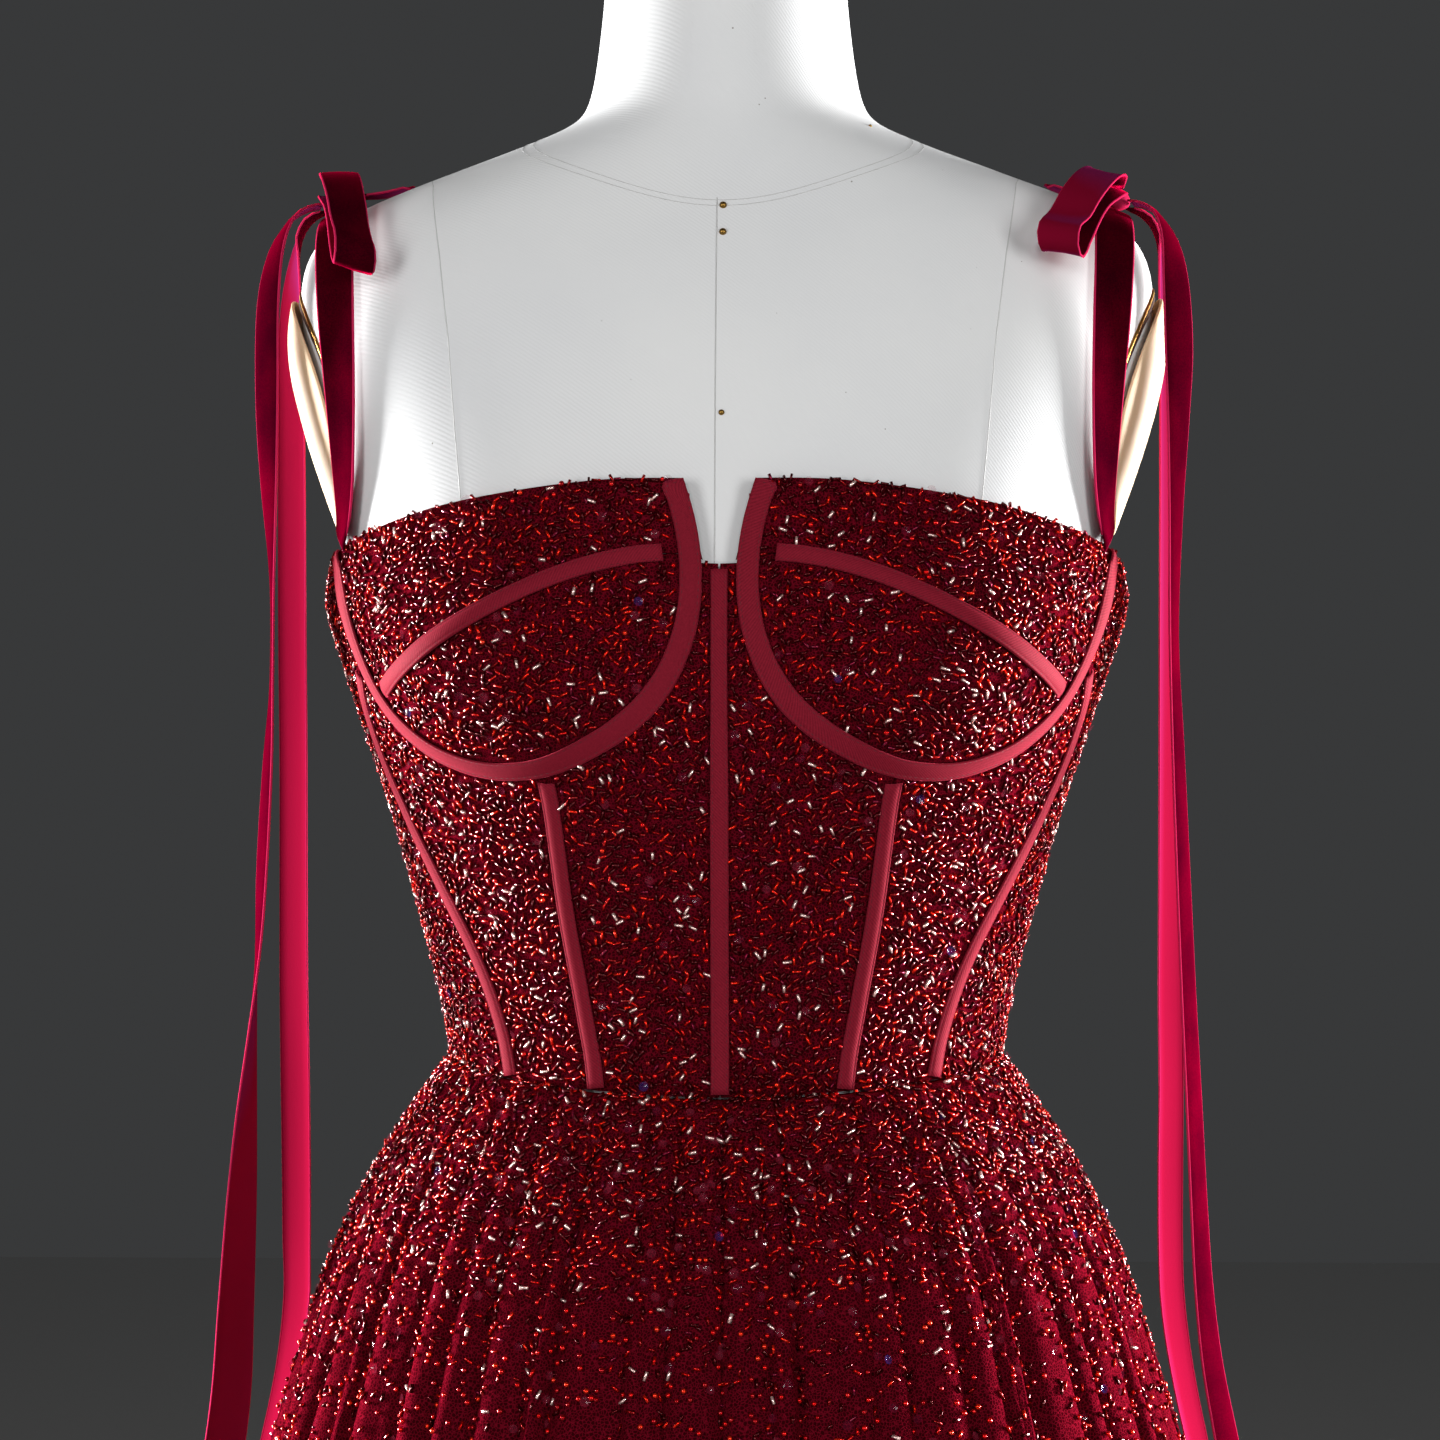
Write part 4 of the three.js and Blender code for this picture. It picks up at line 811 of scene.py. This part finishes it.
def scatter(mesh, spread, random):
    """Places over a face, and which way each looks. Spread gives their number in a square metre at a height.
    None is nearer another than BEAD_GAP, or on a tape."""
    mesh.calc_loop_triangles()
    corners = np.array([t.vertices[:] for t in mesh.loop_triangles])
    at = np.array([v.co[:] for v in mesh.vertices])
    normals = np.array([v.normal[:] for v in mesh.vertices])
    a, b, c = at[corners[:, 0]], at[corners[:, 1]], at[corners[:, 2]]
    area = np.linalg.norm(np.cross(b - a, c - a), axis=1) / 2
    expected = area * spread((a + b + c)[:, 2] / 3)
    chosen = random.choice(len(area), int(expected.sum()), p=expected / expected.sum())
    u, v = random.random((2, len(chosen), 1))
    u, v = np.where(u + v > 1, 1 - u, u), np.where(u + v > 1, 1 - v, v)
    places = a[chosen] + u * (b - a)[chosen] + v * (c - a)[chosen]
    n = normals[corners[chosen]]
    facing = n[:, 0] * (1 - u - v) + n[:, 1] * u + n[:, 2] * v
    taken, kept = {}, []
    for index, place in enumerate(places):
        cell = tuple((place // BEAD_GAP).astype(int))
        near = [
            taken[(cell[0] + i, cell[1] + j, cell[2] + k)]
            for i in (-1, 0, 1) for j in (-1, 0, 1) for k in (-1, 0, 1)
            if (cell[0] + i, cell[1] + j, cell[2] + k) in taken
        ]
        if any(((places[other] - place) ** 2).sum() < BEAD_GAP**2 for other in near) or cell in taken:
            continue
        _, width, distance = tape_tree.find(place)
        if distance > width / 2e6 + TAPE_MARGIN:
            taken[cell] = index
            kept.append(index)
    return places[kept], unit(facing[kept])


def bead_mesh(name, places, facing, kinds, random):
    """All the beads on one cloth piece as one mesh. Kinds gives the kind of each bead."""
    points, faces, smooth, slots, tints = [], [], [], [], []
    shapes = bead_shapes()
    for kind in BEAD_KINDS:
        own = kinds == kind["kind"]
        count = int(own.sum())
        corners, template, rounded = shapes[kind["kind"]]
        wide = random.uniform(*kind["wide"], (count, 1, 1))
        long = wide if "long" not in kind else random.uniform(*kind["long"], (count, 1, 1))
        up = unit(facing[own] + random.normal(0, kind["tilt"], (count, 3)))
        along = unit(np.cross(up, random.normal(0, 1, (count, 3))))
        across = np.cross(up, along)
        centre = places[own] + facing[own] * random.uniform(*kind["lift"], (count, 1))
        x, y, z = corners[None, :, 0:1], corners[None, :, 1:2], corners[None, :, 2:3]
        made = (
            centre[:, None] + x * long * along[:, None] + y * wide * across[:, None] + z * wide * up[:, None]
        )
        first = sum(len(p) for p in points)
        points.append(made.reshape(-1, 3))
        for bead in range(count):
            base = first + bead * len(corners)
            faces += [tuple(base + corner for corner in face) for face in template]
        smooth += [index < rounded for index in range(len(template))] * count
        slots += [kind["material"]] * len(template) * count
        palette = np.array([linear(colour) for colour, _ in kind["tints"]])
        weights = np.array([weight for _, weight in kind["tints"]], dtype=float)
        picked = palette[random.choice(len(palette), count, p=weights / weights.sum())]
        tints.append(np.repeat(picked, len(corners), axis=0))
    mesh = bpy.data.meshes.new(name)
    mesh.from_pydata(np.vstack(points).tolist(), [], faces)
    for polygon_values, key in ((smooth, "use_smooth"), (slots, "material_index")):
        mesh.polygons.foreach_set(key, polygon_values)
    tint = mesh.color_attributes.new("bead_tint_and_glint", "FLOAT_COLOR", "POINT")
    tint.data.foreach_set("color", np.vstack(tints).ravel())
    return mesh


def beads_on(name, mesh, spread, shares, halves=False):
    """Sews beads on one cloth piece, as one mesh or as a left and a right one. Shares gives the chance of a
    seed bead and a sequin at a height."""
    random = np.random.default_rng(len(bpy.data.objects))
    places, facing = scatter(mesh, spread, random)
    seeds, sequins = shares(places[:, 2])
    chance = random.random(len(places))
    kinds = np.where(chance < sequins, "sequin", np.where(chance < sequins + seeds, "seed", "bugle"))
    groups = {name: np.full(len(places), True)}
    if halves:
        groups = {name + "_left": places[:, 0] >= 0, name + "_right": places[:, 0] < 0}
    made = []
    for part, own in groups.items():
        data = bead_mesh(part, places[own], facing[own], kinds[own], random)
        made.append(finished(part, data, [bead_glass, sequin_film]))
    return made


for name, flat in PANELS.items():
    for word in ("left", "right"):
        face = merged_copy(f"{name}_{word}")
        face.normal_update()
        hidden = [
            f for f in face.faces
            if f.normal.dot((f.calc_center_median() * Vector((1, 1, 0))).normalized()) < PANEL_FACING
        ]
        bmesh.ops.delete(face, geom=hidden, context="FACES")
        panel = finished(f"panel_{name}_{word}", face, [beaded_net], [f"{name}_{word}"])
        rounded(panel, 1).boundary_smooth = "PRESERVE_CORNERS"
        shape = live_mesh(panel)
        thicken(panel, PANEL_THICK)
        beads = beads_on(
            f"beads_{name}_{word}", shape, lambda z: np.full_like(z, BODICE_BEADS), lambda z: BODICE_SHARES
        )

# Velvet ribbons
# Sixteen millimetre velvet ribbon: cut pile on the face, a satin back and a
# shiny selvedge along both edges. One length each side is sewn into the
# bodice's top at front and back and tied in a bow on the shoulder.
RIBBON_WIDTH = 0.016
RIBBON_THICK = 0.0007
RIBBON_STEP = 0.004
PILE_DEEP = "#200008"
PILE_RED = "#48000f"
PILE_SHEEN = "#c80438"
SELVEDGE_COLOUR = "#ac2048"
BACK_ROSE = "#6e0822"
# Painted reflection: the violet the satin back is mixed towards where it turns away from the view.
BACK_PAINTED_VIOLET = "#6a1c4c"
BACK_SHEEN = "#e01858"
SELVEDGE_SHARE = 0.05
RIBBON_SECTION = (
    {"across": 0.0, "rise": -0.0005},
    {"across": 0.03, "rise": -0.0001},
    {"across": 0.07, "rise": -0.00006},
    {"across": 0.1, "rise": 0.0001},
    {"across": 0.28, "rise": 0.0003},
    {"across": 0.5, "rise": 0.00045},
)
RIBBONS = (
    {"name": "strap_front", "near": (145.8, -33.5, 1200), "up": None},
    {"name": "strap_back", "near": (121.5, 55.5, 1180), "up": None},
    {"name": "front_loop", "near": (150, -6.8, 1386.4), "up": {"left": -1, "right": 1}},
    {"name": "back_loop", "near": (142.5, 1.2, 1387.7), "up": {"left": 1, "right": 1}},
    {"name": "tail_front", "near": (156.5, -4.5, 1380.3), "up": {"left": 1, "right": 1}},
    {"name": "tail_back", "near": (156.5, 4.5, 1380.3), "up": {"left": -1, "right": -1}},
)

# Velvet: deep, matt pile that lightens where it turns away, and a bright plain selvedge.
velvet = new_material("velvet, cut pile")
velvet_uv = add_node(velvet, "ShaderNodeUVMap", {"uv_map": "cut"}).outputs[0]
velvet_split = add_node(velvet, "ShaderNodeSeparateXYZ", {}, {0: velvet_uv})
from_middle = add_node(
    velvet, "ShaderNodeMath", {"operation": "SUBTRACT", 1: RIBBON_WIDTH / 2}, {0: velvet_split.outputs[0]}
)
off_middle = add_node(
    velvet, "ShaderNodeMath", {"operation": "ABSOLUTE"}, {0: from_middle.outputs[0]}
).outputs[0]
selvedge = add_node(
    velvet, "ShaderNodeMapRange",
    {1: RIBBON_WIDTH * (0.5 - SELVEDGE_SHARE), 2: RIBBON_WIDTH * (0.52 - SELVEDGE_SHARE)}, {0: off_middle}
).outputs[0]
velvet_place = add_node(velvet, "ShaderNodeTexCoord").outputs["Object"]
pile_grain = add_node(
    velvet, "ShaderNodeTexNoise", {"Scale": 2200.0, "Detail": 2.0}, {"Vector": velvet_place}
).outputs["Fac"]
pile_lie = add_node(
    velvet, "ShaderNodeTexNoise", {"Scale": 38.0, "Detail": 2.0}, {"Vector": velvet_place}
).outputs["Fac"]
pile_mix = add_node(
    velvet, "ShaderNodeMath", {"operation": "MULTIPLY"}, {0: pile_grain, 1: pile_lie}
).outputs[0]
pile_spread = add_node(velvet, "ShaderNodeMapRange", {1: 0.12, 2: 0.4}, {0: pile_mix}).outputs[0]
pile_colour = add_node(
    velvet, "ShaderNodeMix", {"data_type": "RGBA", 6: linear(PILE_DEEP), 7: linear(PILE_RED)},
    {0: pile_spread},
).outputs[2]
velvet_colour = add_node(
    velvet, "ShaderNodeMix", {"data_type": "RGBA", 7: linear(SELVEDGE_COLOUR)},
    {0: selvedge, 6: pile_colour},
).outputs[2]
pile_bump = add_node(
    velvet, "ShaderNodeBump", {"Strength": 0.35, "Distance": 0.0002}, {"Height": pile_grain}
).outputs["Normal"]
velvet_shader = add_node(
    velvet, "ShaderNodeBsdfPrincipled",
    {"Roughness": 0.85, "Specular IOR Level": 0.0, "Sheen Weight": 0.9, "Sheen Roughness": 0.3,
     "Sheen Tint": linear(PILE_SHEEN)},
    {"Base Color": velvet_colour, "Normal": pile_bump},
)
add_node(velvet, "ShaderNodeOutputMaterial", {}, {"Surface": velvet_shader.outputs[0]})

# Satin back: smooth rose red. Where it turns away from the view it is mixed towards violet, a painted
# reflection of cool light in its shade.
ribbon_back = new_material("satin back, woven")
back_place = add_node(ribbon_back, "ShaderNodeTexCoord").outputs["Object"]
back_threads = add_node(
    ribbon_back, "ShaderNodeTexNoise", {"Scale": 1600.0, "Detail": 2.0}, {"Vector": back_place}
).outputs["Fac"]
back_reflection_facing = add_node(ribbon_back, "ShaderNodeLayerWeight", {"Blend": 0.45}).outputs["Facing"]
back_reflection_share = add_node(ribbon_back, "ShaderNodeMapRange", {1: 0.45, 2: 0.9}, {0: back_reflection_facing}).outputs[0]
back_colour = add_node(
    ribbon_back, "ShaderNodeMix", {"data_type": "RGBA", 6: linear(BACK_ROSE), 7: linear(BACK_PAINTED_VIOLET)},
    {0: back_reflection_share},
).outputs[2]
back_bump = add_node(
    ribbon_back, "ShaderNodeBump", {"Strength": 0.2, "Distance": 0.0001}, {"Height": back_threads}
).outputs["Normal"]
back_shader = add_node(
    ribbon_back, "ShaderNodeBsdfPrincipled",
    {"Roughness": 0.6, "Specular IOR Level": 0.0, "Sheen Weight": 0.06,
     "Sheen Tint": linear(BACK_SHEEN), "Sheen Roughness": 0.4},
    {"Base Color": back_colour, "Normal": back_bump},
)
add_node(ribbon_back, "ShaderNodeOutputMaterial", {}, {"Surface": back_shader.outputs[0]})

for ribbon in RIBBONS:
    for side, word in ((1, "left"), (-1, "right")):
        node = f"{ribbon['name']}_{word}"
        near = Vector(ribbon["near"]) * Vector((side, 1, 1)) / 1000
        sides = long_edges(node, near, ribbon["up"] and (0, 0, ribbon["up"][word]))
        net, across, along = strip(sides, RIBBON_WIDTH, RIBBON_STEP, RIBBON_SECTION)
        cloth = cloth_grid(net, across, along)
        piece = finished("velvet_" + node, cloth, [velvet, ribbon_back], [node])
        thicken(piece, RIBBON_THICK).material_offset = 1

# Knots
# The ribbon's crossing, pulled tight round itself into a small puckered knob.
for word in ("left", "right"):
    knot = merged_copy("knot_" + word)
    knot_piece = finished("velvet_knot_" + word, knot, [velvet], ["knot_" + word])
    rounded(knot_piece, 2)

# Skirt
# Beaded net over satin, cut in three and gathered hard into the waist seam,
# so that it falls in uneven, narrow folds that open towards the floor hem.
FOLDS = 56
FOLD_COLUMNS = 8
SKIRT_ROWS = (
    {"z": 12, "half": 380, "front": 380, "back": 380, "fold": 24, "lines": 6},
    {"z": 400, "half": 309, "front": 308, "back": 308, "fold": 15, "lines": 8},
    {"z": 760, "half": 213, "front": 207, "back": 206, "fold": 7.5, "lines": 9},
    {"z": 930, "half": 168.5, "front": 157, "back": 153, "fold": 4.6, "lines": 6},
    {"z": 980, "half": 151, "front": 137, "back": 130, "fold": 3.6, "lines": 5},
    {"z": 1015, "half": 132.5, "front": 116, "back": 107, "fold": 2.8, "lines": 4},
    {"z": 1035, "half": 119, "front": 102.5, "back": 93, "fold": 2, "lines": 3},
    {"z": 1050, "half": 108, "front": 92.5, "back": 81.5, "fold": 1.2, "lines": 0},
)
FOLD_SHIFTS = ((0.24, 23, 0), (0.14, 45, 1))
FOLD_DEPTH = 1.75
MEAN_DEPTH = 0.82
DEPTH_WAVE = (0.18, 33, 0.6)
RIDGE_ROUND = 0.6
SECOND_FOLD = 0.6
MEAN_SECOND = 0.6
SECOND_WAVE = (0.4, 29, 2)
SECOND_WIDTH = 0.12
DRIFT_TURNS = 16.0
WAIST_DIP = 0.007
WAIST_GAP = 0.0005
TUCK = 0.0024
SKIRT_THICK = 0.0012
SPREAD_HEIGHTS = (0.3, 0.6, 0.8, 0.9, 0.94, 0.975, 1.005, 1.02)
SPREAD_BEADS = (6000, 9000, 14000, 26000, 36000, 80000, 220000, 380000)
SEED_SHARES = (0.55, 0.55, 0.55, 0.55, 0.5, 0.35, 0.12, 0.05)
SEQUIN_SHARES = (0.12, 0.12, 0.12, 0.12, 0.1, 0.08, 0.05, 0.04)
SKIRT_PARTS = (
    {"name": "skirt_front", "first": -14, "folds": 28, "flat": (1.35, 1.12), "bead_halves": True},
    {"name": "skirt_back_left", "first": 14, "folds": 14, "flat": (0.68, 1.12), "bead_halves": False},
    {"name": "skirt_back_right", "first": 28, "folds": 14, "flat": (0.68, 1.12), "bead_halves": False},
)


def varied(value, fold, *waves):
    """A value that rises and falls round the skirt in waves that close on themselves."""
    for size, turns, start in waves:
        value = value + size * np.sin(2 * np.pi * turns * fold / FOLDS + start)
    return value


def smooth_column(key, heights):
    """A column of the skirt's rows, on a smooth curve through them."""
    z = np.array([row["z"] for row in SKIRT_ROWS]) / 1000
    value = np.array([row[key] for row in SKIRT_ROWS]) / 1000
    gap = np.diff(z)
    rise = np.diff(value) / gap
    between = (rise[:-1] * gap[1:] + rise[1:] * gap[:-1]) / (gap[1:] + gap[:-1])
    slope = np.concatenate([[rise[0]], between, [rise[-1]]])
    low = np.clip(np.searchsorted(z, heights, side="right") - 1, 0, len(gap) - 1)
    s = (np.clip(heights, z[0], z[-1]) - z[low]) / gap[low]
    return (
        (2 * s**3 - 3 * s**2 + 1) * value[low] + (s**3 - 2 * s**2 + s) * gap[low] * slope[low]
        + (3 * s**2 - 2 * s**3) * value[low + 1] + (s**3 - s**2) * gap[low] * slope[low + 1]
    )


def skirt_net(first, folds):
    """The skirt's outer face between two of its folds' valleys."""
    place = first + np.arange(folds * FOLD_COLUMNS + 1) / FOLD_COLUMNS
    fold = np.minimum(np.floor(place), first + folds - 1)
    share = place - fold
    uneven = [varied(f, f, *FOLD_SHIFTS) for f in (fold, fold + 1)]
    depth = [varied(MEAN_DEPTH, f, DEPTH_WAVE) for f in (fold, fold + 1)]
    angle = (uneven[0] + share * (uneven[1] - uneven[0])) * 2 * np.pi / FOLDS
    ridge = np.sin(np.pi * np.clip(share, 0, 1)) ** RIDGE_ROUND
    main = (depth[0] + share * (depth[1] - depth[0])) * (1 - ridge) * FOLD_DEPTH
    second = SECOND_FOLD * varied(MEAN_SECOND, fold, SECOND_WAVE)
    heights = []
    for low, high in zip(SKIRT_ROWS, SKIRT_ROWS[1:]):
        heights += list(np.linspace(low["z"], high["z"], low["lines"] + 1)[:-1] / 1000)
    heights.append(SKIRT_ROWS[-1]["z"] / 1000)
    waist = WAIST_DIP * np.maximum(0, np.cos(angle)) ** 2 + WAIST_GAP
    top, below = SKIRT_ROWS[-1]["z"] / 1000, SKIRT_ROWS[-2]["z"] / 1000
    net = []
    for height in heights:
        z = height - waist * max(0, height - below) / (top - below)
        half = smooth_column("half", z)
        deep = np.where(np.cos(angle) >= 0, smooth_column("front", z), smooth_column("back", z))
        x, y = half * np.sin(angle), -deep * np.cos(angle)
        reach = np.hypot(x, y)
        drift = varied(share - 0.5 - 0.14 * np.sin(fold * 2.4 + height * DRIFT_TURNS), fold, (-0.1, 19, 1))
        reaching = 0.7 + 0.3 * np.sin(fold * 1.7 - height * DRIFT_TURNS)
        sink = main + second * np.exp(-((drift / SECOND_WIDTH) ** 2)) * reaching
        pulled = (reach - sink * smooth_column("fold", z)) / reach
        net.append(np.stack([x * pulled, y * pulled, z], axis=1))
    half, front, back = (SKIRT_ROWS[-1][key] / 1000 - TUCK for key in ("half", "front", "back"))
    deep = np.where(np.cos(angle) >= 0, front, back)
    net.append(np.stack([half * np.sin(angle), -deep * np.cos(angle), net[-1][:, 2] + WAIST_GAP], axis=1))
    return np.array(net)


def skirt_spread(z):
    return np.interp(z, SPREAD_HEIGHTS, SPREAD_BEADS)


def skirt_shares(z):
    return np.interp(z, SPREAD_HEIGHTS, SEED_SHARES), np.interp(z, SPREAD_HEIGHTS, SEQUIN_SHARES)


for part in SKIRT_PARTS:
    net = skirt_net(part["first"], part["folds"])
    cloth = cloth_grid(net, list(distances(net[len(net) // 2])), list(distances(net[:, 0])))
    piece = finished(part["name"] + "_net", cloth, [beaded_net], [part["name"]])
    shape = piece.data.copy()
    beads = beads_on("beads_" + part["name"], shape, skirt_spread, skirt_shares, part["bead_halves"])
    thicken(piece, SKIRT_THICK)

# Floor and studio light
# A plain pale floor under the stand. Soft lights stand behind, beside and in
# front of the form, and two small ones make the beads sparkle.
FLOOR_COLOUR = "#d9d8d6"
WORLD_COLOUR = "#a9abad"
FLOOR_HALF = 6.0
WORLD_STRENGTH = 0.1
PAIRED_LIGHTS = {
    "rim": {"power": 15, "size": (0.4, 0.9), "place": (1.27, 0.46, 0.88), "spread": 42, "aim": 0.92},
    "side": {"power": 16, "size": (0.6, 1.2), "place": (1.3, -1.5, 1.4), "spread": 180, "aim": 1.15},
    "spark": {"power": 4, "size": (0.12, 0.12), "place": (0.55, -2.2, 1.9), "spread": 180, "aim": 1.15},
}
FRONT_LIGHT = {"power": 6, "size": (0.4, 0.3), "place": (0, -2.3, 1.75), "spread": 180, "aim": 1.2}

floor_mesh = bmesh.new()
bmesh.ops.create_grid(floor_mesh, x_segments=1, y_segments=1, size=FLOOR_HALF)
floor_data = bpy.data.meshes.new("floor")
floor_mesh.to_mesh(floor_data)
floor_mesh.free()
floor = bpy.data.objects.new("floor", floor_data)
bpy.context.scene.collection.objects.link(floor)
# Floor paint: pale grey and matt.
floor_paint = new_material("floor paint, matt")
floor_shader = add_node(
    floor_paint, "ShaderNodeBsdfPrincipled", {"Base Color": linear(FLOOR_COLOUR), "Roughness": 0.85}
)
add_node(floor_paint, "ShaderNodeOutputMaterial", {}, {"Surface": floor_shader.outputs[0]})
floor_data.materials.append(floor_paint)


def soft_light(name, settings, side):
    """A soft light on one side of the form, aimed at a height on the pole's axis."""
    lamp = bpy.data.lights.new(name, "AREA")
    lamp.shape = "RECTANGLE"
    lamp.size, lamp.size_y = settings["size"]
    lamp.energy = settings["power"]
    lamp.spread = math.radians(settings["spread"])
    light = bpy.data.objects.new(name, lamp)
    light.location = Vector(settings["place"]) * Vector((side, 1, 1))
    aim = Vector((0, 0, settings["aim"]))
    light.rotation_euler = (aim - light.location).to_track_quat("-Z", "Y").to_euler()
    bpy.context.scene.collection.objects.link(light)


for side, word in ((1, "left"), (-1, "right")):
    for name, settings in PAIRED_LIGHTS.items():
        soft_light(f"light_{name}_{word}", settings, side)
soft_light("light_front", FRONT_LIGHT, 1)

world = bpy.data.worlds.new("studio")
world.use_nodes = True
background = world.node_tree.nodes["Background"]
background.inputs["Color"].default_value = linear(WORLD_COLOUR)
background.inputs["Strength"].default_value = WORLD_STRENGTH
bpy.context.scene.world = world
bpy.context.scene.view_settings.view_transform = "Standard"
